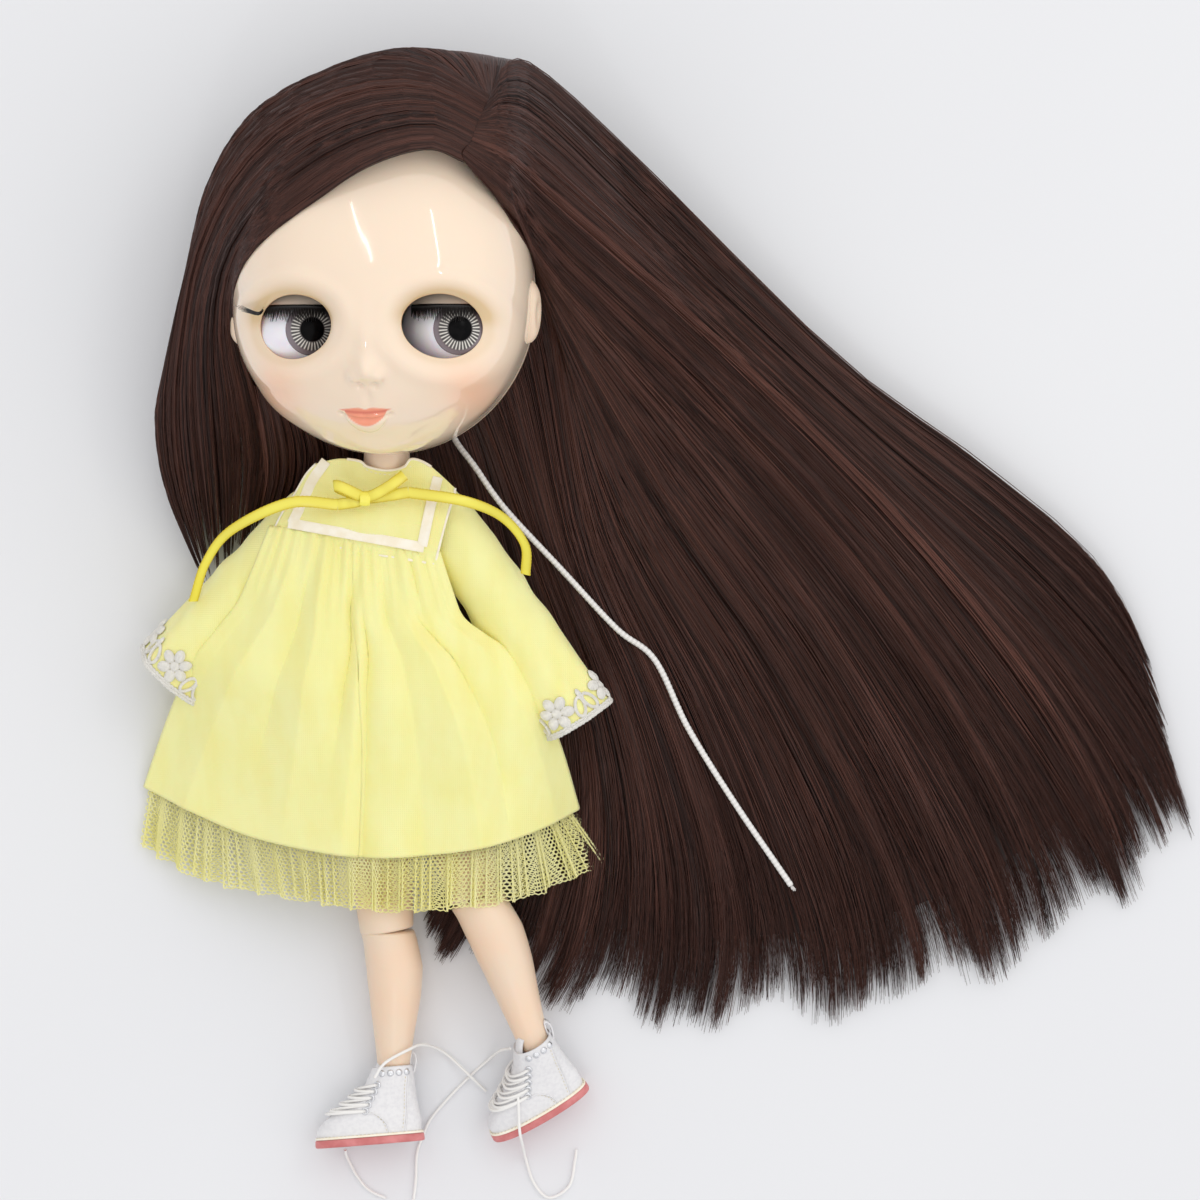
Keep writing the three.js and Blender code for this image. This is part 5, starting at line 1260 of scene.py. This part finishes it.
def net_point(s, d, phase, shrink):
    """A place on the flat net, s along and d down in millimetres, as gathered under the hem."""
    a = s / NET_WIDTH
    f = d / NET_DEPTH
    upper = spline_at(np.array([seen(*p) for p in NET_UPPER]), a * (len(NET_UPPER) - 1))
    lower = spline_at(np.array([seen(*p) for p in NET_LOWER]), a * (len(NET_LOWER) - 1))
    base = lerp(upper, lower, f[..., None] * shrink)
    angle = 2 * math.pi * NET_GATHERS * (a + 0.012 * np.sin(31 * a + phase)) + phase
    wave = np.sin(angle) + 0.45 * np.sin(2 * angle + 1.1 + 5 * a) + 0.3 * np.sin(0.37 * angle)
    base[..., 2] += lerp(0.3, 1.3, f) * wave
    base[..., 0] += lerp(0.3, 1.25, f) * np.cos(angle + 0.6)
    base[..., 1] += 0.5 * f * np.sin(0.61 * angle + phase)
    base[..., 2] = np.maximum(base[..., 2], NET_FLOOR)
    return base


def net_layer(phase, shrink, first, last):
    rows = int(NET_DEPTH / NET_ROW)
    cols = np.arange(int(first * NET_WIDTH / NET_CELL * 2), int(last * NET_WIDTH / NET_CELL * 2) + 1)
    r, k = np.meshgrid(np.arange(rows), cols, indexing="ij")
    s = k * NET_CELL / 2
    d = r * NET_ROW + np.where((r + k) % 2, NET_STAGGER, -NET_STAGGER)
    points = net_point(np.clip(s, 0, NET_WIDTH), np.clip(d, 0, NET_DEPTH), phase, shrink)
    tie = ((r + k) % 2 == 1)[:-1]
    a = np.concatenate([points[:, :-1].reshape(-1, 3), points[:-1][tie]])
    b = np.concatenate([points[:, 1:].reshape(-1, 3), points[1:][tie]])
    along = unit(b - a)
    side = unit(np.cross(along, [0.1, 0.2, 1.0]))
    up = np.cross(side, along)
    ring = [math.cos(q) * side + math.sin(q) * up for q in THREAD_CORNERS]
    corners = np.stack([end + NET_THREAD * corner for end in (a, b) for corner in ring], 1)
    faces = np.array([[0, 1, 4, 3], [1, 2, 5, 4], [2, 0, 3, 5]])
    return corners, (np.arange(len(a))[:, None, None] * 6 + faces).reshape(-1, 4)


def build_net():
    for name, first, last in (("right", 0.0, 0.5), ("left", 0.5, 1.0)):
        net = Shape()
        for phase, shrink in NET_LAYERS:
            net.add(*net_layer(phase, shrink, first, last))
        piece = net.make(f"net_{name}", net_finish, smooth=False)
        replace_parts(piece, "tulle_ruffle")
        follow_leg(piece)


# Sleeves and lace cuffs, along the arms, each from its shoulder to its cuff
ARMS = {
    "right": (np.array([-14.994, 28.479, 29.215]), np.array([-57.4, -15.0, 14.0])),
    "left": (np.array([24.004, 28.839, 29.215]), np.array([57.6, -27.0, 19.5])),
}
SLEEVE_START = -7.0
SLEEVE_END = {"right": 62.5, "left": 66.5}
SLEEVE_SHIFT = 2.3
# The sleeve's radius at shares of its length
SLEEVE_SHARES = [-0.12, 0.0, 0.15, 0.5, 0.8, 1.0]
SLEEVE_RADII = [6.4, 8.4, 9.3, 9.6, 10.4, 11.0]
SLEEVE_FLOOR = 0.6
CUFF_FLOWERS = 4
CUFF_PETALS = 6
CUFF_TURN = {"right": 0.0, "left": -0.32}
CUFF_RADIUS = 11.2
FLOWER_UP = 5.0
PETAL_OUT = 3.2


def arm_frame(name):
    shoulder, cuff = ARMS[name]
    down = unit(cuff - shoulder)
    across = unit(np.cross(down, [0, 0, 1]))
    return shoulder, down, across, np.cross(across, down)


def on_sleeve(name, angle, s, lift=0.0):
    shoulder, down, across, front = arm_frame(name)
    end = SLEEVE_END[name]
    angle, s = np.broadcast_arrays(np.asarray(angle, float), np.asarray(s, float))
    share = np.clip(s / end, 0, 1)
    fold = 0.5 * smoothstep(share, 0.15, 0.6) * np.sin(4 * angle + 2.5 * share + 0.8)
    fold += 0.4 * hill(share - 0.42, 0.16) * np.sin(26 * share + 1.4 * np.cos(angle) + 0.6)
    fold += 0.25 * np.sin(7 * angle - 5 * share) * smoothstep(share, 0.3, 1)
    radius = np.interp(s / end, SLEEVE_SHARES, SLEEVE_RADII) + fold + lift
    flat = radius - 0.6 - 1.6 * smoothstep(-np.sin(angle), 0.2, 1)
    place = shoulder + s[..., None] * down + SLEEVE_SHIFT * (1 - share)[..., None] * across
    place = place + (radius * np.cos(angle))[..., None] * across + (flat * np.sin(angle))[..., None] * front
    place[..., 2] = np.maximum(place[..., 2], SLEEVE_FLOOR + lift)
    return place


def dome(shape, name, angle, s, long, wide, turn, height):
    """A padded petal of embroidery on a sleeve, round its own middle."""
    r, q = np.meshgrid(np.linspace(0.02, 1, 6), around(18), indexing="ij")
    u = r * np.cos(q) * long
    v = r * np.sin(q) * wide
    x = u * math.cos(turn) - v * math.sin(turn)
    y = u * math.sin(turn) + v * math.cos(turn)
    lift = 0.25 + height * np.sqrt(1 - 0.98 * r * r)
    shape.grid(on_sleeve(name, angle + x / CUFF_RADIUS, s + y, lift), True)


def cuff_lace(name):
    """A lace cuff: two corded edges, and flowers with a leaf and two loops between them."""
    end = SLEEVE_END[name]
    lace = Shape()
    t = np.linspace(0, 2 * math.pi, 260)
    for at, thick in ((end + 0.9, 0.55), (end + 0.05, 0.42)):
        edge = at + 0.16 * np.sin(t * 60)
        lace.tube(on_sleeve(name, t, edge, 0.35), thick * (1 + 0.12 * np.sin(t * 90)), 7)
    q = np.linspace(0, 2 * math.pi, 48)
    for k in range(CUFF_FLOWERS):
        middle = math.pi / 2 + CUFF_TURN[name] + 2 * math.pi * k / CUFF_FLOWERS
        for petal in range(CUFF_PETALS):
            turn = petal * math.pi / 3 + 0.3
            petal_a = middle + PETAL_OUT * math.cos(turn) / CUFF_RADIUS
            dome(lace, name, petal_a, end - FLOWER_UP + PETAL_OUT * math.sin(turn), 2.0, 1.55, turn, 1.0)
        dome(lace, name, middle, end - FLOWER_UP, 1.5, 1.5, 0, 0.8)
        side = middle + math.pi / CUFF_FLOWERS
        for sign in (-1, 1):
            loop_a = side + (sign * 1.9 + 1.6 * np.cos(q) + sign * 0.7 * np.sin(q)) / CUFF_RADIUS
            loop_s = end - 3.2 + 2.6 * np.sin(q)
            lace.tube(on_sleeve(name, loop_a, loop_s, 0.4), 0.5, 8)
        dome(lace, name, side, end - 6.6, 1.5, 0.9, math.pi / 2, 0.8)
    return lace


def build_sleeves():
    for name in ARMS:
        end = SLEEVE_END[name]
        s = np.r_[np.linspace(SLEEVE_START, end - 1, 120), end - 0.4, end]
        grid = on_sleeve(name, around(110)[None], s[:, None])
        cloth = Shape().sheet(grid[:, ::-1], CLOTH_THICKNESS, wrap=True)
        sleeve = cloth.make(f"sleeve_cloth_{name}", cloth_finish)
        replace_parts(sleeve, f"sleeve_{name}")
        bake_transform(sleeve)
        cuff = cuff_lace(name).make(f"cuff_{name}", lace_finish)
        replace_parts(cuff, f"cuff_lace_{name}")
        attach(cuff, f"forearm_{name}")


def build_dress():
    build_bib()
    build_bodice()
    build_skirt()
    build_net()
    build_sleeves()


# Legs, each as hip, knee and ankle: rounded limbs with a straight knee joint, whose rings are
# (share of the length, half width, half depth, shift)
LEGS = {
    "right": ((-5.373, -27.971, 12.342), (4.8, -89.3, 10.1), (5.9, -131.4, 7.8)),
    "left": ((15.426, -27.779, 12.342), (30.3, -79.6, 13.6), (47.0, -122.8, 13.2)),
}
THIGH_RINGS = [
    (0.1, 6.2, 6.4, 0), (0.22, 8.6, 8.4, 0), (0.5, 9.4, 9.0, 0), (0.8, 8.6, 8.6, 0),
    (0.95, 8.0, 8.2, -0.6), (0.99, 7.75, 8.0, -0.8), (1, 7.4, 7.7, -0.8),
]
SHIN_RINGS = [
    (0, 7.4, 7.7, -0.6), (0.012, 7.75, 8.0, -0.6), (0.07, 7.8, 8.2, 0.0), (0.25, 8.1, 8.4, 1.0),
    (0.45, 7.4, 7.8, 1.0), (0.7, 5.9, 6.2, 0.4), (0.9, 4.8, 4.9, 0), (1.0, 4.1, 4.3, 0),
]
KNEE_GAP = np.array([0, 0.12, 0])
NECK_ROUTE = [(4.6, 36, 32.8), (5, 46, 35.6), (5, 62, 36)]
NECK_RADIUS = 6.5
LIMB_SIDES = 64


def limb(name, a, b, rings):
    a, b = np.array(a), np.array(b)
    down = unit(b - a)
    side = unit(np.cross([0, 0, 1], down))
    front = np.cross(down, side)
    share, wide, deep, shift = np.array(rings).T
    s = np.unique(np.r_[np.linspace(share[0], share[-1], 70), share])
    rows = spline_at(np.stack([share, wide, deep], -1), np.interp(s, share, np.arange(len(share))))
    q = around(LIMB_SIDES)[None]
    middle = a + (b - a) * s[:, None] + side * np.interp(s, share, shift)[:, None]
    out = (rows[:, 1:2] * np.cos(q))[..., None] * side
    rim = middle[:, None] + out + (rows[:, 2:3] * np.sin(q))[..., None] * front
    rim = np.concatenate([lerp(rim[:1], middle[0], 0.98), rim, lerp(rim[-1:], middle[-1], 0.98)])
    piece = Shape().grid(rim, True).make(name, skin_finish)
    return piece


def build_legs():
    for name, (hip, knee, ankle) in LEGS.items():
        thigh = limb(f"thigh_form_{name}", hip, np.array(knee) + KNEE_GAP, THIGH_RINGS)
        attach(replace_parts(thigh, f"thigh_{name}"), f"thigh_{name}")
        shin = limb(f"shin_form_{name}", np.array(knee) - KNEE_GAP, ankle, SHIN_RINGS)
        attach(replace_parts(shin, f"shin_{name}"), f"shin_{name}")
    neck = Shape().tube(spline(NECK_ROUTE, 30), NECK_RADIUS, 48)
    piece = neck.make("neck", skin_finish)
    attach(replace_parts(piece, "neck_post"), "torso")


# Free cords, along the routes that their solids follow: the pull cord, the ribbon's tails and the lace ends
PULL_CORD = [
    (18.6, 83.5, 39.8), (19.9, 71, 24.4), (20.6, 64.7, 16.7), (21.8, 60.3, 14.3), (23.4, 52.4, 16),
    (29.4, 44, 19.5), (38, 32, 19.6), (54.5, 14.2, 15.4), (70, -2.4, 12.2), (81, -11.4, 11.2),
    (90.6, -31, 10), (104, -52.6, 8.6), (120.4, -76.6, 6.6),
]
CORD_RADIUS = 0.85
TAILS = {
    "right": [(-8.4, 32.6, 44.9), (-22, 33, 45.6), (-38.5, 25.6, 39), (-46.4, 16.6, 31), (-50.6, 5.4, 25.6)],
    "left": [(11.4, 36, 44.9), (27, 33.6, 45.2), (37.6, 29.2, 42), (44, 21.4, 37), (44.2, 13, 33)],
}
TAIL_ROLL = {"right": (10, 70), "left": (-12, -62)}
LACE_ENDS = {
    "right_upper": [
        (0.6, -131.2, 15.8), (3.6, -127, 15.2), (10.2, -123.4, 13.4), (14.2, -122.4, 8.6),
        (19.7, -125, 1.62), (26.6, -131, 2.66), (32.2, -136.6, 0.82),
    ],
    "right_lower": [
        (-8.4, -153.2, 4), (-8, -155.6, 1.5), (-5.1, -161.3, 0.82), (-1.7, -165.2, 0.82), (3.2, -167.6, 0.82),
    ],
    "left_upper": [
        (39.4, -123, 14.6), (36.6, -124, 9.4), (32.8, -127.6, 1.22), (27.2, -132.6, 0.82),
        (21, -138.9, 0.82), (16.2, -144.6, 0.82), (14.1, -149, 0.82), (12.2, -154.6, 0.82),
        (11.9, -162, 0.82), (11.2, -168, 0.82),
    ],
    "left_lower": [
        (41.7, -136.1, 15.7), (41.9, -140, 15.6), (42, -144.2, 14.6), (42.4, -148.2, 14.2),
        (43, -151.6, 8), (43.6, -155.6, 1.32), (46.1, -163.2, 0.82), (50.5, -167.4, 0.82),
        (56.3, -164, 0.82), (58, -156.6, 0.82), (58.4, -153.4, 0.82),
    ],
}
LACE_RADIUS = 0.42
BRAID_LAY = 2.4
TUFT_YARNS = 9


def braid(shape, path, radius):
    """A round cord of twisted yarns."""
    _, normal, side = frames(path)
    run = run_of(path)[:, None]
    q = around(18)[None]
    lay = np.cos(3 * q + run * BRAID_LAY) * np.cos(3 * q - run * BRAID_LAY)
    r = radius * (0.95 + 0.09 * lay)
    out = (r * np.cos(q))[..., None] * side[:, None]
    rings = path[:, None] + out + (r * np.sin(q))[..., None] * normal[:, None]
    # The tint follows the yarns' relief: painted shade in the grooves between the yarns and painted highlight
    # on their crowns.
    return shape.grid(rings, True, 0.5 + 0.5 * lay)


def build_pull_cord():
    path = spline(PULL_CORD, 900)
    ends = Shape()
    for k in range(TUFT_YARNS):
        q = k * 2.4
        tip = path[-1] + unit(path[-1] - path[-4]) * rng.uniform(0.8, 1.6)
        tip = tip + 0.5 * np.array([math.cos(q), math.sin(q), 0.3 * math.sin(2 * q)])
        ends.tube(spline([path[-3], path[-1], tip], 6), 0.2, 5)
    tuft = ends.make("pull_cord_end", cord_finish)
    piece = braid(Shape(), path, CORD_RADIUS).make("pull_cord_braid", cord_finish)
    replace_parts(piece, "pull_cord")
    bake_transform(piece)
    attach(tuft, "head")


def build_tails():
    for name, route in TAILS.items():
        path = spline(route, 160)
        piece = satin(Shape(), path, TAIL_ROLL[name]).make(f"ribbon_{name}", satin_finish, smooth=False)
        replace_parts(piece, f"ribbon_tail_{name}")
        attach(piece, "torso")


def build_lace_ends():
    made = {}
    for name, route in LACE_ENDS.items():
        path = spline(route, 200)
        lace = Shape().tube(path, LACE_RADIUS, 12, 0.75).make(f"lace_{name}", cord_finish)
        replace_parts(lace, f"lace_end_{name}")
        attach(lace, f"foot_{name.split('_')[0]}")
        made[name] = (lace, path)
    for name, partner in (("right_upper", "right_lower"), ("left_upper", None), ("left_lower", None)):
        lace, path = made[name]


# Bow: ribbon paths as (pixel x, pixel y, height)
BOW_LOOP = [
    (364, 498, 45.8), (352, 492, 47.4), (341, 487, 47.8), (334, 485.5, 46.8),
    (336, 489, 45.4), (347, 494, 45), (362, 499, 45.2),
]
BOW_END = [(365, 498, 45.8), (376, 494, 47), (389, 486.5, 47.4), (398, 480, 46.8), (404.5, 475, 45.9)]
BOW_LEFT = [(364, 499.5, 45.4), (352, 502.5, 45.2), (337.6, 504.5, 44.9)]
BOW_RIGHT = [(365, 498.5, 45.4), (386, 496, 45.2), (408.2, 492.4, 44.9)]
BOW_KNOT = (364.5, 498.5, 45.3)
KNOT_SECTION = [
    (-1.5, -0.2), (-0.6, 0.0), (0.5, -0.08), (1.5, -0.2), (1.4, 0.2), (0.5, 0.34), (-0.5, 0.42), (-1.4, 0.2),
]
KNOT_HALF = (0.25, 1.75, 1.25)


def satin(shape, path, roll=(0, 0)):
    """A narrow satin ribbon with a picot edge, rolled by some degrees from its start to its end."""
    _, normal, side = frames(path)
    turn = np.radians(lerp(roll[0], roll[1], smoothstep(np.linspace(0, 1, len(path)), 0.1, 0.9)))[:, None]
    wide = np.cos(turn) * side + np.sin(turn) * normal
    face = np.cos(turn) * normal - np.sin(turn) * side
    u = np.linspace(-1, 1, 13)[None, :, None]
    arch = 0.12 * (1 - u**2)
    top = path[:, None] + wide[:, None] * u * RIBBON_HALF + face[:, None] * arch
    # Painted light in the tint: a painted sheen down the middle of the ribbon and in bands along it, and
    # painted shade towards its edges.
    sheen = 0.1 * np.sin(np.linspace(0, 15, len(path)))[:, None]
    weave_and_sheen = 0.15 + 0.75 * np.abs(u[..., 0]) ** 3 + sheen
    shape.sheet(top, RIBBON_THICKNESS, weave_and_sheen)
    for sign in (-1, 1):
        edge = path + wide * sign * RIBBON_HALF
        # The picots take the darkest tint: painted shade along the ribbon's edges.
        shape.tube(edge, 0.12 + 0.05 * np.sin(np.arange(len(path)) * 2.0), 6, 1.0)
    return shape


def build_bow():
    bow = Shape()
    for route in (BOW_LOOP, BOW_END, BOW_LEFT, BOW_RIGHT):
        satin(bow, spline([seen(*p) for p in route], 70))
    centre = np.array(seen(*BOW_KNOT))
    turn = np.linspace(0, 2 * math.pi, 49)
    wrap = centre + np.stack([np.sin(turn), np.cos(turn), np.sin(turn)], -1) * KNOT_HALF
    bow.sweep(wrap, KNOT_SECTION, (0, 1, 0))
    piece = bow.make("bow", satin_finish, smooth=False)
    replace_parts(piece, "ribbon_bow")
    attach(piece, "torso")


# Boots, in the foot's own frame: x to the toe, y up from the top of the sole, z across; each foot as a point
# up the shin, the ankle, and its turn and tilt in degrees
FEET = {
    "right": ((4.8, -86.4, 10.2), (5.9, -131.4, 7.8), -3.2, 8),
    "left": ((31.8, -83.2, 13.6), (47.0, -122.8, 13.2), -8, -20),
}
SOLE_TOP = -16.6
BOOT_HEIGHT = 19.2
BOOT_BACK = [(0, -6.6), (4, -6.9), (10, -6.0), (19.2, -5.6)]
BOOT_FRONT = [
    (0, 23.3), (2, 23.6), (3.5, 22.6), (5, 21.1), (7, 18.8), (9, 15.9),
    (10.5, 13.3), (12.5, 10.6), (15, 8.4), (19.2, 6.2),
]
SOLE_THICKNESS = 2.2
EYELETS = 5
EYELET_TOP = (4.8, 14.4)
EYELET_LOW = (8.8, 7.15)
STUDS = [3.2, 0.7, -1.8, -4.0]
STUD_Y = 17.5
STUD_RADIUS = 1.05
EYELET_RADIUS = 1.15
VAMP_SEAM = [(8.9, 6.6), (6, 6.2), (3.2, 3.5), (2.2, 0.2)]
REAR_SEAM = [(-4.6, 18.4), (-3.6, 12), (-3, 6), (-2.1, 0.2)]
PULL_TAB = [
    (-5.0, 15.4, 0), (-6.2, 18.4, 0), (-6.7, 21.2, 0), (-5.9, 22.8, 0), (-5.2, 21.4, 0), (-4.7, 17.6, 0),
]
BOOT_POINTS = 128
BOOT_THICKNESS = 0.8
TONGUE_SPAN = (9, 22.4)
TONGUE_HALF = 3.2
# Each ring of the welt and of the sole: its height over the sole's top, and how far outside the leather
WELT = [(0.5, 0.0), (0.45, 0.55), (0.1, 0.75), (-0.2, 0.6), (-0.25, -1)]
SOLE_LOW = -0.3 - SOLE_THICKNESS
SOLE_PROFILE = [
    (-0.3, -4.9), (-0.3, 0.5), (-0.5, 0.75), (SOLE_LOW + 0.5, 0.85), (SOLE_LOW + 0.15, 0.7), (SOLE_LOW, 0.3),
    (SOLE_LOW, -4.9),
]


def boot_frame(name):
    """The place of the ankle and the turn of the boot's axes."""
    knee, ankle, turn, tilt = FEET[name]
    down = unit(np.array(ankle) - np.array(knee))
    front = unit([down[1], -down[0], 0])
    side = np.cross(front, -down)
    spin = Matrix.Rotation(math.radians(turn), 3, "Z") @ Matrix.Rotation(math.radians(tilt), 3, "X")
    return np.array(ankle), np.stack([front, -down, side], -1) @ np.array(spin)


def boot_world(name, points):
    ankle, axes = boot_frame(name)
    points = np.asarray(points, float) + [0, SOLE_TOP, 0]
    return ankle + points @ axes.T


def boot_span(y):
    """The middle of the boot along its length at a height, and half its length there."""
    back = np.interp(y, *np.array(BOOT_BACK).T)
    front = np.interp(y, *np.array(BOOT_FRONT).T)
    return (front + back) / 2, (front - back) / 2


def boot_ring(angle, y, lift=0.0):
    """Points round the boot at a height, from the toe, a lift outside its leather."""
    angle, y = np.broadcast_arrays(np.asarray(angle, float), np.asarray(y, float))
    middle, reach = boot_span(y)
    x = middle + (reach + lift) * np.cos(angle)
    half = lerp(lerp(5.2, 6.1, np.clip((x + 6.6) / 24, 0, 1)), 6.4, smoothstep(y, 6, 17))
    z = (half + lift) * np.sign(np.sin(angle)) * np.abs(np.sin(angle)) ** 0.75
    return np.stack([x, y + 0 * x, z], -1)


def boot_rings(profile):
    """Rings round the boot, each by its height and how far outside the leather it lies."""
    q = around(BOOT_POINTS)
    return np.stack([boot_ring(q, np.full(BOOT_POINTS, height), out) for height, out in profile])


def boot_side(x, y, side, lift=0.0):
    """A place on one side of the boot, by its distance to the toe and height."""
    middle, reach = boot_span(y)
    angle = np.arccos(np.clip((x - middle) / reach, -0.999, 0.999))
    return boot_ring(side * angle, y, lift)


def button(shape, centre, normal, radius, height, hollow=0.0):
    """A domed stud, or an eyelet where it is hollow, on a surface."""
    first = unit(np.cross(normal, [0.3, 0.9, 0.2]))
    second = np.cross(normal, first)
    q = around(20)[None]
    tilt = np.linspace(0, math.pi if hollow else math.pi / 2, 9)[:, None]
    if hollow:
        r = lerp(radius, hollow, (1 - np.cos(tilt)) / 2)
    else:
        r = radius * np.cos(tilt) + 0.01
    rise = height * np.sin(tilt) - 0.1
    flat = (r * np.cos(q))[..., None] * first
    rings = centre + flat + (r * np.sin(q))[..., None] * second + (rise + 0 * q)[..., None] * normal
    shape.grid(rings, True)


def boot_upper(name):
    """The leather of a boot with its tongue, pull tab, welt, seams and stitches."""
    body = Shape()
    y = np.r_[np.linspace(0, BOOT_HEIGHT, 60), BOOT_HEIGHT + 0.25][:, None]
    lift = np.r_[np.zeros(60), -0.3][:, None]
    q = around(BOOT_POINTS)[None]
    crease = 0.16 * hill(y - 9.5, 2.2) * np.sin(4.2 * y + 1.6 * np.sin(q)) * (np.cos(q) > 0.2)
    shell = boot_ring(q, y, lift + crease)
    body.sheet(boot_world(name, shell)[:, ::-1], BOOT_THICKNESS, wrap=True)
    rise = np.linspace(*TONGUE_SPAN, 24)[:, None]
    across = np.linspace(-1, 1, 20)[None]
    front = np.interp(rise, *np.array(BOOT_FRONT).T)
    lean = front - 0.9 - 0.9 * across**2 - 0.09 * np.maximum(rise - 17, 0) ** 2
    width = TONGUE_HALF * (1 - 0.35 * smoothstep(rise, 19, TONGUE_SPAN[1]) * across**2)
    tongue = np.stack([lean, rise - 0.8 * across**2, width * across + 0 * rise], -1)
    body.sheet(boot_world(name, tongue), 0.5)
    _, axes = boot_frame(name)
    body.sweep(boot_world(name, spline(PULL_TAB, 40)), flat_section(1.2, 0.45), -axes[:, 0])
    body.grid(boot_world(name, boot_rings(WELT)), True, 0.0, 1)
    edge = boot_rings([(0.5, 0.3)])[0]
    stitches(body, boot_world(name, np.concatenate([edge, edge[:1]])), 1.15, 0.75, 0.13, 2)
    for side in SIDES.values():
        for route in (VAMP_SEAM, REAR_SEAM):
            x, height = planar(route, 60).T
            body.tube(boot_world(name, boot_side(x, height, side, 0.1)), 0.22, 8)
            row = boot_side(x + 0.75, height + 0.3, side, 0.12)
            stitches(body, boot_world(name, row), 1.1, 0.6, 0.1, 2)
    return body


def boot_metal(name, holes):
    """The studs round the top of a boot and the eyelets of its laces."""
    shape = Shape()
    buttons = [(x, STUD_Y, STUD_RADIUS, 0.7, 0.0) for x in STUDS]
    buttons += [(*hole, EYELET_RADIUS, 0.45, 0.5) for hole in holes]
    for side in SIDES.values():
        for x, height, radius, rise, hollow in buttons:
            spot = boot_side(x, height, side)
            out = boot_side(x, height, side, 1.0) - spot
            centre = boot_world(name, spot)
            button(shape, centre, unit(boot_world(name, spot + out) - centre), radius, rise, hollow)
    return shape


def boot_lacing(name, holes):
    """The laces that cross over the tongue, from each eyelet to the next one on the other side."""
    lacing = Shape()
    t = np.linspace(0, 1, 40)
    for k, first in enumerate(holes):
        last = holes[min(k + 1, EYELETS - 1)]
        for side in SIDES.values():
            turns = []
            for (x, height), sign in ((first, side), (last, -side)):
                middle, reach = boot_span(height)
                turns.append(sign * math.acos((x - middle) / reach))
            bulge = 0.1 + (1.3 + 0.35 * side) * np.sin(math.pi * t) ** 0.8
            path = boot_ring(lerp(*turns, t), lerp(first[1], last[1], t), bulge)
            lacing.tube(boot_world(name, path), LACE_RADIUS, 8, 0.75)
    return lacing


def build_boot(name):
    holes = np.linspace(EYELET_TOP, EYELET_LOW, EYELETS)
    upper = boot_upper(name).make(f"boot_{name}", leather_finish, trim_finish, stitch_finish)
    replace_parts(upper, f"boot_upper_{name}")
    sole = Shape().grid(boot_world(name, boot_rings(SOLE_PROFILE)), True).make(f"sole_{name}", sole_finish)
    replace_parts(sole, f"boot_sole_{name}")
    buttons = boot_metal(name, holes).make(f"boot_metal_{name}", silver_finish)
    laces = boot_lacing(name, holes).make(f"boot_laces_{name}", cord_finish)
    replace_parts(laces, f"boot_lacing_{name}")
    for piece in (upper, sole, buttons, laces):
        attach(piece, f"foot_{name}")


# Camera, light and floor
SKY_BRIGHT = (0.42, 0.36, 0.83)
SKY_LOW = (0.62, 0.625, 0.635, 1)
SKY_HIGH = (1.13, 1.12, 1.105, 1)
FLOOR_HALF = 3000
# Each lamp: its place in metres, its power, its width and length, and its turn
LAMPS = {
    "strip_left": ((-0.3, 0.65, 1.2), 0.42, 0.015, 0.62, 20),
    "strip_right": ((0.77, 0.64, 1.2), 1.1, 0.015, 0.6, 8),
    "small_front": ((0.02, -0.68, 1.15), 0.5, 0.12, 0.08, 0),
}


def lamp(name, place, power, width, length, turn):
    """A flat lamp that shines straight down, turned about the vertical by some degrees."""
    light = bpy.data.lights.new(name, "AREA")
    light.energy = power
    light.shape = "RECTANGLE"
    light.size = width
    light.size_y = length
    made = bpy.data.objects.new(name, light)
    made.location = place
    made.rotation_euler = (0, 0, math.radians(turn))
    bpy.context.scene.collection.objects.link(made)


def build_stage():
    camera = bpy.data.objects.new("camera", bpy.data.cameras.new("camera"))
    camera.data.angle = 2 * math.atan(FRAME_WIDTH / 2 / CAMERA[2])
    camera.location = Vector(CAMERA) * MM
    camera.data.clip_start = 0.05
    bpy.context.scene.collection.objects.link(camera)
    bpy.context.scene.camera = camera
    scene = bpy.context.scene
    scene.render.resolution_x = FRAME_PIXELS
    scene.render.resolution_y = FRAME_PIXELS
    scene.view_settings.view_transform = "Standard"
    world = bpy.data.worlds.new("room")
    scene.world = world
    world.use_nodes = True
    tree = world.node_tree
    towards = node(tree, "ShaderNodeTexCoord").outputs["Generated"]
    sockets = {0: towards, 1: SKY_BRIGHT}
    facing = node(tree, "ShaderNodeVectorMath", sockets, operation="DOT_PRODUCT").outputs["Value"]
    sky = mix(tree, ramp(tree, facing, -0.4, 1.0), SKY_LOW, SKY_HIGH)
    tree.links.new(sky, tree.nodes["Background"].inputs["Color"])
    for name, settings in LAMPS.items():
        lamp(name, *settings)
    corners = [(x * FLOOR_HALF, y * FLOOR_HALF, 0) for x, y in ((-1, -1), (1, -1), (1, 1), (-1, 1))]
    paper = mottled(
        "paper", colour(233, 234, 237), 0.7, colour(234, 235, 238), colour(229, 230, 234), 3, (0.2, 0.8)
    )
    Shape().add(corners, [[0, 1, 2, 3]]).make("floor", paper)


build_stage()
build_pull_cord()
build_tails()
build_lace_ends()
build_head()
build_eyes()
build_hair()
build_dress()
build_bow()
build_legs()
for foot in FEET:
    build_boot(foot)

NODE_FINISH = {
    "skin": skin_finish,
    "eye": plastic_finish,
    "spring": steel_finish,
    "screw": steel_finish,
    "shaft": steel_finish,
}
for name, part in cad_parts.items():
    part.data.materials.clear()
    part.data.materials.append(next((m for key, m in NODE_FINISH.items() if key in name), skin_finish))
